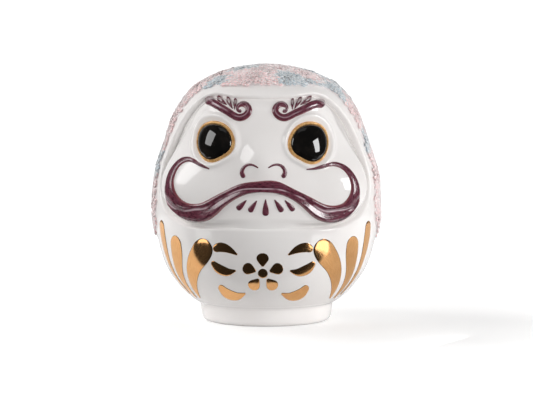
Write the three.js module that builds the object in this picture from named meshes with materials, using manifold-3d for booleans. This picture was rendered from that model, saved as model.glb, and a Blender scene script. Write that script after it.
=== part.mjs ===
// Daruma doll in glazed porcelain: a hollow egg-shaped body on a foot ring, a face that bulges
// out of a hood-shaped opening, a mantle skin of flowers, and applied strokes and gilding.
// Millimetres, +Z up, the face looks along -Y. The origin is the centre of the foot ring's underside.
//
// Every surface is measured from one point inside the body, the core. A direction from the core is
// given by its angle from straight ahead and its turn round that forward axis.

import * as THREE from 'three';
import { mergeVertices } from 'three/addons/utils/BufferGeometryUtils.js';
import Module from 'manifold-3d';

const wasm = await Module();
wasm.setup();

const DEG = Math.PI / 180;
const FULL_TURN = 2 * Math.PI;
const FORWARD = new THREE.Vector3(0, -1, 0);

// ---- Driving dimensions -------------------------------------------------------------------

const CORE = new THREE.Vector3(0, 0, 95);
const GAP = 0.3; // clearance between touching pieces
const SUNK = 1.5; // how far an applied piece reaches into the face before it is cut to fit
const WALL = 5; // body wall
const FACE_DEPTH = 7; // from the bare body surface to the inside of the face
const MANTLE_THICKNESS = 1.1;

const FOOT_HEIGHT = 11.2;
const FOOT_RADIUS = 41.6;
const FOOT_INNER_RADIUS = 34.4;
const BASE_UNDERSIDE = 5; // the base plate sits this high inside the foot
const BASE_THICKNESS = 3.5;
const VENT_RADIUS = 3.5;

// Half section of the bare body, [radius, height], from the crown down. The last two points lie
// below the cut where the foot ring starts, and only carry the curve on.
const BODY_SECTION = [
  [0, 158], [14, 156.8], [28, 153.2], [38.6, 148.6], [45, 144.4], [49.2, 139.8], [53.6, 133.4],
  [58.2, 123.8], [62.4, 111.8], [66.2, 100], [68.9, 88], [70, 74], [69.4, 59], [66.9, 46.5],
  [62.3, 33], [56.8, 24.6], [49.6, 16.8], [42, FOOT_HEIGHT], [22, 5], [0, 4],
];

// Lip of the face opening on the right side, [degrees round from the front, height], from the
// middle of the brim down to the middle of the lower lip. The left side mirrors it.
const LIP = [
  [0, 141.4], [13, 141.6], [26, 142.2], [42, 143], [51, 140.4], [57.5, 134.6], [63, 126],
  [66.8, 116], [69.2, 105], [70.3, 95], [69.3, 86], [65.8, 77], [60, 70.5], [51, 65.6], [41, 63],
  [33, 62.5], [24, 62.8], [12, 63.3], [0, 63.5],
];

// Edge of the mantle, given the same way, from over the brim to the middle of the back.
const MANTLE_EDGE = [
  [0, 147.8], [17, 147.7], [34, 147.4], [58, 145], [66.5, 138], [71, 130], [74, 120], [76.3, 108],
  [77.2, 96], [75.8, 86], [74, 77], [74.5, 68], [78.5, 60], [90, 53.5], [115, 44], [150, 34],
  [180, 31],
];

// The face stands back behind the lip in a groove: its depth at the brim, the chin and the sides.
const BRIM_GROOVE_DEPTH = 1.7;
const CHIN_GROOVE_DEPTH = 0.5;
const SIDE_GROOVE_DEPTH = 4.2;
const GROOVE_START = 0.8; // share of the way to the lip where the face starts to fall away

// Soft swellings of the face: [across, height, half width, half height, rise]. Mirrored.
const SWELLINGS = [
  { name: 'cheek', x: 54, z: 87, halfWidth: 16, halfHeight: 18, rise: 6.6 },
  { name: 'brow ridge', x: 28, z: 138, halfWidth: 18, halfHeight: 9.5, rise: 3.8 },
];
const NOSE = { x: 0, z: 99, halfWidth: 13, halfHeight: 13, rise: 2.4 };
const NOSE_BRIDGE = { x: 0, z: 107, halfWidth: 10, halfHeight: 10, rise: 3.4 };
const EYELID_RISE = 1.7;
const EYELID_RADIUS = 1.14; // of the rim's outline
const EYELID_WIDTH = 0.13;

// Outline of an eye rim about its centre, [towards the temple, up].
const EYE_OUTLINE = [
  [0, 12.9], [8, 10.4], [12.2, 2], [10.8, -7.6], [4.6, -12.6], [-4.4, -10.2], [-11.2, -4.6], [-11.4, 4.4],
  [-7.2, 10.2],
];
const EYES = [
  { side: 'left', sign: -1, x: -28.7, z: 114.9, size: 0.96 },
  { side: 'right', sign: 1, x: 27, z: 114.4, size: 0.99 },
];
const RIM_INNER = 0.86; // the rim's inner outline as a share of the outer
const RIM_DROP = 0.5; // the inner outline sits this much lower, so the rim is wider at the top
const RIM_HEIGHT = 1.7;
const EYE_HEIGHT = 5;
const EYE_EDGE = 0.6; // height of the dome's edge

// Strokes are [across, height, half width] along their middle line.
const MOUSTACHE = [
  [-32.4, 98.8, 0.35], [-36, 100.2, 0.9], [-40, 102, 1.2], [-45, 103.8, 1.4], [-49, 103, 1.6],
  [-52.8, 100, 1.7], [-55.9, 94.6, 2.1], [-57, 88.7, 2.6], [-56, 82.4, 3.5], [-51.8, 76.4, 4.2],
  [-44, 72.4, 5.3], [-35.8, 72.9, 5.7], [-27.8, 78.1, 4.7], [-20.8, 82.8, 3.8], [-12, 87.2, 3.6],
  [-2, 89, 3.5], [7.3, 88.8, 3.8], [14.5, 86.2, 3.2], [21.8, 82.3, 3.3], [28.4, 77.8, 4.2],
  [35.4, 73, 5.2], [43.8, 71.8, 5.1], [50.8, 75.2, 4], [54.4, 80.8, 3.1], [55.4, 87.2, 2.4],
  [53.8, 92.8, 1.8], [50.4, 97.6, 1.5], [45.6, 100.7, 1.3], [41, 101.4, 1.3], [35, 100.1, 1.1],
  [30.5, 99.3, 0.7], [26.2, 99, 0.35],
];
const MOUSTACHE_RISE = 2.6;

const BROW_BARS = {
  left: [[35.6, 139, 2.1], [31.6, 138.3, 2.3], [27, 136.2, 2.3], [22, 133.6, 2.3]],
  right: [[37.6, 136.4, 1.9], [33.6, 137.2, 2.3], [28.4, 135.9, 2.4], [23, 133.5, 2.3]],
};
const BROW_SCROLL = [
  [18.5, 131.5, 2.2], [14, 129.6, 2.2], [9.8, 130.9, 2.1], [8, 134.1, 2], [9.8, 136.9, 1.7],
  [13, 137.2, 1.35], [14.9, 135.3, 1], [14.2, 133.4, 0.8], [12.4, 133.7, 1.5],
];
const BROW_SHIFT = -0.8; // both brows sit a little to the doll's left
const BROW_RISE = 1.9;
const BROW_CURLS = [
  { x: 27.5, z: 140.3, length: 5.7, width: 2.5, lean: -58 },
  { x: 21.8, z: 139.8, length: 5.4, width: 2.5, lean: -32 },
  { x: 17.3, z: 139.2, length: 4.4, width: 2.1, lean: 2 },
];
const CURL_LINE = 0.42; // half the line's width as a share of the loop's size
const CURL_RISE = 0.6;
const DROP_HEAD = 0.6; // height of a drop's round head over its middle, as a share of half its length
const SHOULDER = 0.6; // height of a raised line's shoulders as a share of its rise

const NOSTRIL = [
  [3, 100.5, 0.35], [5.7, 101.9, 0.6], [8.7, 102.2, 0.75], [11.9, 100.2, 0.95], [12.9, 97.4, 1.25],
  [11.6, 94.2, 1.6],
];
const NOSTRIL_SHIFT = 0.5;
const NOSTRIL_RISE = 1;

const CHIN_DROPS = [
  [[-9.6, 80.8], [-15.3, 75.1]], [[-3.4, 80.7], [-7.9, 73.8]], [[1.9, 81.6], [1.9, 71.5]],
  [[7.2, 81.3], [12, 73.9]], [[13.4, 80.8], [18.9, 74.4]],
];
const CHIN_DROP_HALF_WIDTH = [1.9, 1.9, 2.2, 1.9, 1.8];
const CHIN_DROP_RISE = 0.8;

// Gilded teardrops of the belly: [degrees round from the front, height, half width] from the
// tail by the foot up to the round head.
const PETALS = [
  [[54, 16.5, 0.5], [49.5, 24, 2.8], [44.5, 33, 5.1], [38.8, 42, 6.8], [33, 49.5, 7.3], [30.5, 56.4, 5.8]],
  [[60.5, 16, 0.5], [59, 25, 2.6], [56.5, 34, 4.4], [53.8, 45, 6.1], [52, 56.6, 5.4]],
  [[66, 18, 0.5], [66.5, 29, 1.9], [66.6, 42, 3.1], [66.2, 54, 4.2], [65.6, 64.6, 3.6]],
];
const GILDING_RISE = 0.35;
const GILDING_EDGE = 0.3; // thickness at its outline

// Gilded ornament of the belly: a five-petalled blossom between brush-like leaves, laid out as
// [round the surface, height] in millimetres.
const BLOSSOM = { z: 36, radius: 4.4, petalLength: 8.4, petalHalfWidth: 4.2, petals: 5, centreRadius: 3 };
const LEAVES = [
  [[15.5, 47.5, 0.5], [21, 50.6, 2.3], [27.5, 51.6, 2.9], [31, 49.6, 1.8]],
  [[16.5, 37.5, 0.5], [22, 36.4, 2.6], [28, 38.4, 3], [32.5, 42.4, 1.4]],
  [[11, 22.6, 0.5], [16.5, 20.4, 2.8], [23, 22, 3.4], [28, 27.2, 1.8]],
];

// ---- Finishes -----------------------------------------------------------------------------

const finishes = {
  porcelain: { color: 0xeeeae6, roughness: 0.08, metalness: 0 },
  biscuit: { color: 0xd9bec2, roughness: 0.75, metalness: 0 },
  plum: { color: 0x5d3346, roughness: 0.15, metalness: 0 },
  black: { color: 0x070707, roughness: 0.05, metalness: 0 },
  rimGold: { color: 0xd08f35, roughness: 0.3, metalness: 0.7 },
  gold: { color: 0xc8924a, roughness: 0.12, metalness: 1 },
};

// ---- Curves and surfaces ------------------------------------------------------------------

/** A smooth function through [x, y] knots, level at both ends. */
function smoothThrough(knots) {
  const last = knots.length - 1;
  const rise = (i) => (knots[i + 1][1] - knots[i][1]) / (knots[i + 1][0] - knots[i][0]);
  const slopes = knots.map((knot, i) => {
    if (i === 0 || i === last) return 0;
    const before = knot[0] - knots[i - 1][0];
    const after = knots[i + 1][0] - knot[0];
    return (after * rise(i - 1) + before * rise(i)) / (before + after);
  });
  return (x) => {
    let i = 0;
    while (i < last - 1 && x > knots[i + 1][0]) i += 1;
    const width = knots[i + 1][0] - knots[i][0];
    const t = Math.min(Math.max((x - knots[i][0]) / width, 0), 1);
    return knots[i][1] * (1 + 2 * t) * (1 - t) ** 2 + knots[i + 1][1] * (3 - 2 * t) * t ** 2
      + width * (slopes[i] * t * (1 - t) ** 2 + slopes[i + 1] * (t - 1) * t ** 2);
  };
}

const smoothStep = (low, high, x) => THREE.MathUtils.smoothstep(x, low, high);

/** Distance from the core to the bare body, by the angle from straight up. */
const sectionReach = smoothThrough(BODY_SECTION.map(([radius, height]) => {
  const above = height - CORE.z;
  return [Math.atan2(radius, above), Math.hypot(radius, above)];
}));

const bodyReach = (direction) => sectionReach(Math.acos(THREE.MathUtils.clamp(direction.z, -1, 1)));

/** Radius of the bare body at a height. */
function bodyRadius(height) {
  let [low, high] = [0, Math.PI];
  for (let step = 0; step < 40; step += 1) {
    const middle = (low + high) / 2;
    if (sectionReach(middle) * Math.cos(middle) > height - CORE.z) low = middle;
    else high = middle;
  }
  return sectionReach(low) * Math.sin(low);
}

/** Direction from the core: `ahead` is the angle from forward, `turn` runs from +X up to +Z. */
function directionAt(ahead, turn) {
  const side = Math.sin(ahead);
  return new THREE.Vector3(side * Math.cos(turn), -Math.cos(ahead), side * Math.sin(turn));
}

/** An edge curve on the body as a function: angle from forward for each turn, mirrored left to right. */
function edgeAngle(points) {
  const knots = points.map(([azimuth, height]) => {
    const radius = bodyRadius(height);
    const x = radius * Math.sin(azimuth * DEG);
    const ray = new THREE.Vector3(x, -radius * Math.cos(azimuth * DEG), height - CORE.z).normalize();
    return [Math.atan2(ray.z, Math.abs(ray.x) < 1e-9 ? 0 : ray.x), ray.angleTo(FORWARD)];
  });
  const along = smoothThrough(knots.reverse());
  return (turn) => along(Math.atan2(Math.sin(turn), Math.abs(Math.cos(turn))));
}

const lipAngle = edgeAngle(LIP);
const mantleAngle = edgeAngle(MANTLE_EDGE);

const bump = (x, z, swelling) => swelling.rise
  * Math.exp(-(((x - swelling.x) / swelling.halfWidth) ** 2) - ((z - swelling.z) / swelling.halfHeight) ** 2);

/** How far a point lies from an eye's centre, as a share of the rim's outline. */
function eyeShare(x, z, eye) {
  const across = ((x - eye.x) * eye.sign) / eye.size;
  const up = (z - eye.z) / eye.size;
  const bearing = Math.atan2(up, across);
  return Math.hypot(across, up) / eyeRadius(bearing);
}

const wholeTurn = (angle) => THREE.MathUtils.euclideanModulo(angle, FULL_TURN);

/** Radius of the eye outline at a bearing from 0 to a full turn. Knots past both ends close it smoothly. */
const eyeOutlineRadius = (() => {
  const polar = EYE_OUTLINE.map(([x, y]) => [wholeTurn(Math.atan2(y, x)), Math.hypot(x, y)]);
  polar.sort((a, b) => a[0] - b[0]);
  const before = polar.slice(-3).map(([angle, radius]) => [angle - FULL_TURN, radius]);
  const after = polar.slice(0, 3).map(([angle, radius]) => [angle + FULL_TURN, radius]);
  return smoothThrough([...before, ...polar, ...after]);
})();

const eyeRadius = (bearing) => eyeOutlineRadius(wholeTurn(bearing));

/** Rise of the face over the bare body, before the groove. */
function faceRelief(x, z) {
  let rise = bump(x, z, NOSE) + bump(x, z, NOSE_BRIDGE);
  for (const swelling of SWELLINGS) {
    rise += bump(Math.abs(x), z, swelling);
  }
  for (const eye of EYES) {
    rise += EYELID_RISE * Math.exp(-(((eyeShare(x, z, eye) - EYELID_RADIUS) / EYELID_WIDTH) ** 2));
  }
  return rise;
}

/** Distance from the core to the face. */
function faceReach(direction) {
  const reach = bodyReach(direction);
  const turn = Math.atan2(direction.z, direction.x);
  const share = direction.angleTo(FORWARD) / lipAngle(turn);
  const fall = smoothStep(GROOVE_START, 1, share);
  const middle = direction.z > 0 ? BRIM_GROOVE_DEPTH : CHIN_GROOVE_DEPTH;
  const groove = middle + (SIDE_GROOVE_DEPTH - middle) * Math.cos(turn) ** 2;
  const relief = faceRelief(reach * direction.x, CORE.z + reach * direction.z);
  return reach + relief * (1 - fall) - groove * fall;
}

/** Point of the face seen from the front at (x, z), raised by `lift` along the surface's normal. */
function onFace(x, z, lift) {
  const foot = facePoint(x, z);
  const step = 0.5;
  const across = facePoint(x + step, z).sub(facePoint(x - step, z));
  const up = facePoint(x, z + step).sub(facePoint(x, z - step));
  return foot.addScaledVector(across.cross(up).normalize(), lift);
}

function facePoint(x, z) {
  const height = z - CORE.z;
  let ahead = 45;
  for (let step = 0; step < 24; step += 1) {
    const reach = faceReach(new THREE.Vector3(x, -ahead, height).normalize());
    ahead = Math.sqrt(Math.max(reach ** 2 - x ** 2 - height ** 2, 16));
  }
  return new THREE.Vector3(x, -ahead, z);
}

/** Point of the belly: `around` is measured along the surface at height z. */
function onBelly(around, z, lift) {
  const point = (height) => {
    const radius = bodyRadius(height);
    const azimuth = around / bodyRadius(z);
    return new THREE.Vector3(radius * Math.sin(azimuth), -radius * Math.cos(azimuth), height);
  };
  const foot = point(z);
  const up = point(z + 0.5).sub(point(z - 0.5));
  const across = new THREE.Vector3(-foot.y, foot.x, 0);
  return foot.addScaledVector(across.cross(up).normalize(), lift);
}

// ---- Solids -------------------------------------------------------------------------------

/** A closed skin over a run of rings with equal counts; a ring of one point closes an end. */
function skinRings(rings, loop = false) {
  const positions = [];
  const starts = rings.map((ring) => {
    const start = positions.length / 3;
    ring.forEach((point) => positions.push(point.x, point.y, point.z));
    return start;
  });
  const faces = [];
  const joins = loop ? rings.length : rings.length - 1;
  for (let i = 0; i < joins; i += 1) {
    const next = (i + 1) % rings.length;
    const count = Math.max(rings[i].length, rings[next].length);
    for (let j = 0; j < count; j += 1) {
      const k = (j + 1) % count;
      const here = (index) => starts[i] + (rings[i].length === 1 ? 0 : index);
      const there = (index) => starts[next] + (rings[next].length === 1 ? 0 : index);
      if (rings[i].length > 1) faces.push(here(j), here(k), there(k));
      if (rings[next].length > 1) faces.push(here(j), there(k), there(j));
    }
  }
  const geometry = new THREE.BufferGeometry();
  geometry.setAttribute('position', new THREE.Float32BufferAttribute(positions, 3));
  geometry.setIndex(faces);
  return facingOut(geometry);
}

/** The same geometry with its faces turned outward, found by the sign of its volume. */
function facingOut(geometry) {
  const position = geometry.getAttribute('position');
  const index = geometry.getIndex();
  const corner = (i) => new THREE.Vector3().fromBufferAttribute(position, index.getX(i));
  let volume = 0;
  for (let i = 0; i < index.count; i += 3) {
    volume += corner(i).dot(corner(i + 1).cross(corner(i + 2)));
  }
  if (volume < 0) {
    for (let i = 0; i < index.count; i += 3) {
      const first = index.getX(i);
      index.setX(i, index.getX(i + 1));
      index.setX(i + 1, first);
    }
  }
  geometry.computeVertexNormals();
  return geometry;
}

const range = (count) => Array.from({ length: count }, (_, i) => i);

const TURNS = 56;

/** Turns round the forward axis that step evenly along the lip, starting at the middle of the lower lip. */
const ringTurns = (() => {
  const steps = 720;
  const fine = range(steps + 1).map((i) => -Math.PI / 2 + (i / steps) * FULL_TURN);
  const points = fine.map((turn) => directionAt(lipAngle(turn), turn));
  const lengths = points.map((point, i) => (i === 0 ? 0 : point.distanceTo(points[i - 1])));
  const along = [];
  lengths.reduce((sum, length, i) => {
    along[i] = sum + length;
    return along[i];
  }, 0);
  const total = along[steps];
  return range(TURNS).map((i) => fine[along.findIndex((length) => length >= (i / TURNS) * total)]);
})();

/** One ring of points round the forward axis at an angle from forward. */
function surfaceRing(angleAt, reachAt) {
  return ringTurns.map((turn) => {
    const direction = directionAt(angleAt(turn), turn);
    return direction.multiplyScalar(reachAt(direction.clone())).add(CORE);
  });
}

const pole = (direction, reach) => [direction.clone().multiplyScalar(reach).add(CORE)];

const blend = (from, to, share) => (turn) => from(turn) + (to(turn) - from(turn)) * share;

/** Rings over the body from the lip to the back pole; the mantle uses the same ones from its edge on. */
function bodyRings(shares, from, to, reachAt) {
  return shares.map((share) => surfaceRing(blend(from, to, share), reachAt));
}

const BORDER_SHARES = [0, 0.08, 0.2, 0.35, 0.5, 0.65, 0.82];
const BACK_SHARES = [0, 0.1, 0.2, 0.31, 0.43, 0.55, 0.67, 0.79, 0.9];
const INNER_SHARES = [0.85, 0.65, 0.45, 0.25, 0.1];
const backward = FORWARD.clone().negate();
const straightBack = () => Math.PI;
const straightAhead = () => 0;
const lipInside = (turn) => lipAngle(turn) - GAP / bodyReach(directionAt(lipAngle(turn), turn));
const lipOutside = (turn) => lipAngle(turn) + GAP / bodyReach(directionAt(lipAngle(turn), turn));

function bodyShell() {
  const inner = (direction) => bodyReach(direction) - WALL;
  const rings = [
    pole(backward, bodyReach(backward)),
    ...bodyRings([...BACK_SHARES].reverse(), mantleAngle, straightBack, bodyReach),
    ...bodyRings([...BORDER_SHARES].reverse(), lipAngle, mantleAngle, bodyReach),
    surfaceRing(lipAngle, inner),
    ...bodyRings([...INNER_SHARES].reverse(), lipAngle, straightBack, inner),
    pole(backward, inner(backward)),
  ];
  return cutBelow(skinRings(rings), FOOT_HEIGHT + GAP);
}

/** Removes everything below a height. */
function cutBelow(geometry, height) {
  const depth = 100;
  const cutter = new THREE.BoxGeometry(400, 400, depth).translate(0, 0, height - depth / 2);
  return geometryOf(manifoldOf(geometry).subtract(manifoldOf(cutter)));
}

function geometryOf(solid) {
  const mesh = solid.getMesh();
  const geometry = new THREE.BufferGeometry();
  geometry.setAttribute('position', new THREE.BufferAttribute(new Float32Array(mesh.vertProperties), 3));
  geometry.setIndex(new THREE.BufferAttribute(new Uint32Array(mesh.triVerts), 1));
  geometry.computeVertexNormals();
  return geometry;
}

function manifoldOf(geometry) {
  const plain = geometry.clone();
  plain.deleteAttribute('normal');
  plain.deleteAttribute('uv');
  const merged = mergeVertices(plain, 1e-4);
  return new wasm.Manifold(new wasm.Mesh({
    numProp: 3,
    vertProperties: new Float32Array(merged.getAttribute('position').array),
    triVerts: new Uint32Array(merged.getIndex().array),
  }));
}

const FACE_SHARES = [1, 0.95, 0.9, 0.84, 0.77, 0.67, 0.56, 0.44, 0.3, 0.15];
const FACE_INNER_SHARES = [1, 0.75, 0.5, 0.25];

function faceMask() {
  const inner = (direction) => bodyReach(direction) - FACE_DEPTH;
  return skinRings([
    pole(FORWARD, inner(FORWARD)),
    ...bodyRings([...FACE_INNER_SHARES].reverse(), straightAhead, lipInside, inner),
    ...bodyRings(FACE_SHARES, straightAhead, lipInside, faceReach),
    pole(FORWARD, faceReach(FORWARD)),
  ]);
}

function mantle() {
  const under = (direction) => bodyReach(direction) + GAP;
  const over = (direction) => bodyReach(direction) + GAP + MANTLE_THICKNESS;
  return skinRings([
    pole(backward, under(backward)),
    ...bodyRings([...BACK_SHARES].reverse(), mantleAngle, straightBack, under),
    ...bodyRings(BACK_SHARES, mantleAngle, straightBack, over),
    pole(backward, over(backward)),
  ]);
}

function footRing() {
  const [flatInner, flatOuter] = [FOOT_INNER_RADIUS, FOOT_RADIUS - 4];
  const profile = [
    [flatInner, 0], [flatOuter, 0], [flatOuter + 1.3, 0.5], [flatOuter + 2.2, 1.7], [flatOuter + 2.9, 4.5],
    [FOOT_RADIUS, FOOT_HEIGHT], [FOOT_INNER_RADIUS, FOOT_HEIGHT], [flatInner, 0],
  ].map(([radius, height]) => new THREE.Vector2(radius, height));
  return turned(profile);
}

function basePlate() {
  const outer = FOOT_INNER_RADIUS - GAP;
  const top = BASE_UNDERSIDE + BASE_THICKNESS;
  const profile = [
    [VENT_RADIUS, BASE_UNDERSIDE], [outer, BASE_UNDERSIDE], [outer, top], [VENT_RADIUS, top],
    [VENT_RADIUS, BASE_UNDERSIDE],
  ].map(([radius, height]) => new THREE.Vector2(radius, height));
  return turned(profile);
}

const TURNED_SIDES = 36;

/** A closed profile turned about Z. */
function turned(profile) {
  const lathe = new THREE.LatheGeometry(profile, TURNED_SIDES).rotateX(Math.PI / 2);
  lathe.deleteAttribute('normal');
  lathe.deleteAttribute('uv');
  return facingOut(mergeVertices(lathe, 1e-4));
}

/** The body and face grown by the gap: whatever is applied to them is cut to fit with these. */
const grownBody = manifoldOf(skinRings([
  pole(backward, bodyReach(backward) + GAP),
  ...bodyRings([...BACK_SHARES].reverse(), mantleAngle, straightBack, (ray) => bodyReach(ray) + GAP),
  ...bodyRings([...BORDER_SHARES].reverse(), lipInside, mantleAngle, (ray) => bodyReach(ray) + GAP),
  [CORE],
]));
const grownFace = manifoldOf(skinRings([
  [CORE],
  ...bodyRings(FACE_SHARES, straightAhead, lipOutside, (ray) => faceReach(ray) + GAP),
  pole(FORWARD, faceReach(FORWARD) + GAP),
]));

/** Cuts a piece that is sunk into the face and the brim so that it lies on them, and keeps its main body. */
function fitted(geometry) {
  const pieces = manifoldOf(geometry).subtract(grownFace).subtract(grownBody).decompose();
  pieces.sort((a, b) => b.volume() - a.volume());
  return geometryOf(pieces[0]);
}

/** A raised brush stroke laid on a surface. `path` holds [across, height, half width] points. */
function stroke(path, place, options) {
  const { rise, samples, roundStart = false, roundEnd = false, edge = 0.25, across = 4, sunk = 0 } = options;
  const curve = new THREE.CatmullRomCurve3(path.map((point) => new THREE.Vector3(...point)));
  const stations = strokeStations(curve, samples, roundStart, roundEnd);
  const rings = stations.map(({ share, taper }) => {
    const point = curve.getPointAt(share);
    const tangent = curve.getTangentAt(share).setZ(0).normalize();
    const at = (t, lift) => place(
      point.x - tangent.y * point.z * taper * t,
      point.y + tangent.x * point.z * taper * t,
      GAP + lift,
    );
    const top = range(across + 1).map((i) => {
      const t = (2 * i) / across - 1;
      const height = edge + (rise - edge) * taper * Math.min(1, point.z / (2 * rise)) * (1 - t * t);
      return at(t, height);
    });
    return [...top, at(1, -sunk), at(0, -sunk), at(-1, -sunk)];
  });
  const cap = (share) => {
    const point = curve.getPointAt(share);
    return [place(point.x, point.y, GAP + (edge - sunk) / 2)];
  };
  return skinRings([cap(0), ...rings, cap(1)]);
}

/** Places along a stroke, closer together at a round end, where the width follows a circle. */
function strokeStations(curve, samples, roundStart, roundEnd) {
  const length = curve.getLength();
  const startRadius = roundStart ? curve.getPointAt(0).z : 0;
  const endRadius = roundEnd ? curve.getPointAt(1).z : 0;
  const from = Math.max(startRadius / length, 0.004);
  const to = 1 - Math.max(endRadius / length, 0.004);
  const middle = range(samples).map((i) => ({ share: from + ((to - from) * i) / (samples - 1), taper: 1 }));
  const quarter = [22, 50];
  const start = quarter.map((angle) => ({
    share: (startRadius / length) * (1 - Math.cos(angle * DEG)),
    taper: Math.sin(angle * DEG),
  }));
  const end = [...quarter].reverse().map((angle) => ({
    share: 1 - (endRadius / length) * (1 - Math.cos(angle * DEG)),
    taper: Math.sin(angle * DEG),
  }));
  return [...(roundStart ? start : []), ...middle, ...(roundEnd ? end : [])];
}

/** A stroke applied to the face. */
const faceStroke = (path, options) => fitted(stroke(path, onFace, { sunk: SUNK, ...options }));

/** A flat gilded stroke on the belly. */
const gildedStroke = (path, samples) => stroke(path, onBelly, {
  rise: GILDING_RISE, edge: GILDING_EDGE, samples, roundEnd: true, across: 2,
});

/** A small closed loop of line in the shape of a drop, laid on the face. */
function curlLoop({ x, z, length, width, lean }, sign) {
  const steps = 12;
  const rings = range(steps).map((i) => {
    const outline = dropPoint((i / steps) * FULL_TURN, length, width, lean);
    const at = (t, lift) => {
      const point = outline.clone().multiplyScalar(1 + t * CURL_LINE);
      return onFace(sign * (x + point.x), z + point.y, GAP + lift);
    };
    const shoulder = CURL_RISE * SHOULDER;
    return [at(-1, -SUNK), at(-1, shoulder), at(0, CURL_RISE), at(1, shoulder), at(1, -SUNK)];
  });
  return fitted(skinRings(rings, true));
}

/** Point of a drop outline about its round head, narrow at the bottom and leaning by `lean` degrees. */
function dropPoint(angle, length, width, lean) {
  const narrowing = (1 + 0.55 * Math.sin(angle)) / 1.55;
  const point = new THREE.Vector2(
    (width / 2) * Math.cos(angle) * narrowing,
    (length / 2) * (Math.sin(angle) - DROP_HEAD),
  );
  return point.rotateAround(new THREE.Vector2(), lean * DEG);
}

const EYE_STEPS = 22;

/** A ring of the eye outline scaled by `share`, raised by `lift` over the face. */
function eyeRing(eye, share, drop, lift) {
  return range(EYE_STEPS).map((i) => {
    const bearing = (i / EYE_STEPS) * FULL_TURN;
    const radius = eyeRadius(bearing) * eye.size * share;
    const x = eye.x + eye.sign * radius * Math.cos(bearing);
    return onFace(x, eye.z - drop + radius * Math.sin(bearing), GAP + lift);
  });
}

function eyeDome(eye) {
  const edgeShare = RIM_INNER - 0.03;
  const domeShares = [1, 0.97, 0.85, 0.65, 0.4, 0.18];
  const centre = (lift) => [onFace(eye.x, eye.z - RIM_DROP, GAP + lift)];
  const domeRise = (share) => EYE_EDGE + (EYE_HEIGHT - EYE_EDGE) * Math.sqrt(1 - share ** 2);
  return fitted(skinRings([
    centre(-SUNK),
    eyeRing(eye, edgeShare, RIM_DROP, -SUNK),
    ...domeShares.map((share) => eyeRing(eye, edgeShare * share, RIM_DROP, domeRise(share))),
    centre(EYE_HEIGHT),
  ]));
}

function eyeRim(eye) {
  const middleShare = (1 + RIM_INNER) / 2;
  return fitted(skinRings([
    eyeRing(eye, 1, 0, -SUNK),
    eyeRing(eye, 1, 0, RIM_HEIGHT * SHOULDER),
    eyeRing(eye, middleShare, RIM_DROP / 2, RIM_HEIGHT),
    eyeRing(eye, RIM_INNER, RIM_DROP, RIM_HEIGHT * SHOULDER),
    eyeRing(eye, RIM_INNER, RIM_DROP, -SUNK),
  ], true));
}

/** A path mirrored to one side: sign 1 is +X. */
const mirrored = (path, sign, shift = 0) => path.map(([x, z, halfWidth]) => [sign * x + shift, z, halfWidth]);

/** A belly path given by azimuth, turned into distance round the surface. */
const unrolled = (path) => path.map(([azimuth, z, halfWidth]) => (
  [azimuth * DEG * bodyRadius(z), z, halfWidth]
));

function chinDrop([[topX, topZ], [bottomX, bottomZ]], halfWidth) {
  const middle = [(topX + bottomX) / 2, (topZ + bottomZ) / 2, halfWidth * 0.75];
  const path = [[topX, topZ, 0.3], middle, [bottomX, bottomZ, halfWidth]];
  return faceStroke(path, { rise: CHIN_DROP_RISE, samples: 5, roundEnd: true, across: 2 });
}

function blossomPetal(index) {
  const bearing = Math.PI / 2 + (index / BLOSSOM.petals) * FULL_TURN;
  const along = (distance, halfWidth) => [
    Math.cos(bearing) * distance, BLOSSOM.z + Math.sin(bearing) * distance, halfWidth,
  ];
  const { radius, petalLength, petalHalfWidth } = BLOSSOM;
  const path = [
    along(radius, 0.6), along(radius + petalLength * 0.45, petalHalfWidth * 0.8),
    along(radius + petalLength, petalHalfWidth),
  ];
  return gildedStroke(path, 5);
}

function blossomCentre() {
  const steps = 18;
  const ring = (radius, lift) => range(steps).map((i) => {
    const bearing = (i / steps) * FULL_TURN;
    return onBelly(radius * Math.cos(bearing), BLOSSOM.z + radius * Math.sin(bearing), GAP + lift);
  });
  return skinRings([
    [onBelly(0, BLOSSOM.z, GAP)],
    ring(BLOSSOM.centreRadius, 0),
    ring(BLOSSOM.centreRadius, GILDING_EDGE),
    [onBelly(0, BLOSSOM.z, GAP + GILDING_RISE)],
  ]);
}

// ---- Assembly -----------------------------------------------------------------------------

const doll = new THREE.Group();
doll.name = 'daruma_doll';

function add(name, geometry, finish) {
  const mesh = new THREE.Mesh(geometry, new THREE.MeshStandardMaterial(finishes[finish]));
  mesh.name = name;
  doll.add(mesh);
}

add('body_shell', bodyShell(), 'porcelain');
add('face_mask', faceMask(), 'porcelain');
add('mantle', mantle(), 'biscuit');
add('foot_ring', footRing(), 'porcelain');
add('base_plate', basePlate(), 'porcelain');

for (const eye of EYES) {
  add(`eye_${eye.side}`, eyeDome(eye), 'black');
  add(`eye_rim_${eye.side}`, eyeRim(eye), 'rimGold');
}

add('moustache', faceStroke(MOUSTACHE, { rise: MOUSTACHE_RISE, samples: 44 }), 'plum');

for (const { side, sign } of EYES) {
  const browPath = mirrored([...BROW_BARS[side], ...BROW_SCROLL], sign, BROW_SHIFT);
  add(`brow_${side}`, faceStroke(browPath, {
    rise: BROW_RISE, samples: 28, roundStart: true, roundEnd: true,
  }), 'plum');
  BROW_CURLS.forEach((curl, i) => add(`brow_curl_${side}_${i + 1}`, curlLoop(curl, sign), 'plum'));
  add(`nostril_${side}`, faceStroke(mirrored(NOSTRIL, sign, NOSTRIL_SHIFT), {
    rise: NOSTRIL_RISE, samples: 9, roundEnd: true, across: 2,
  }), 'plum');
}

CHIN_DROPS.forEach((ends, i) => add(`chin_drop_${i + 1}`, chinDrop(ends, CHIN_DROP_HALF_WIDTH[i]), 'plum'));

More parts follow.
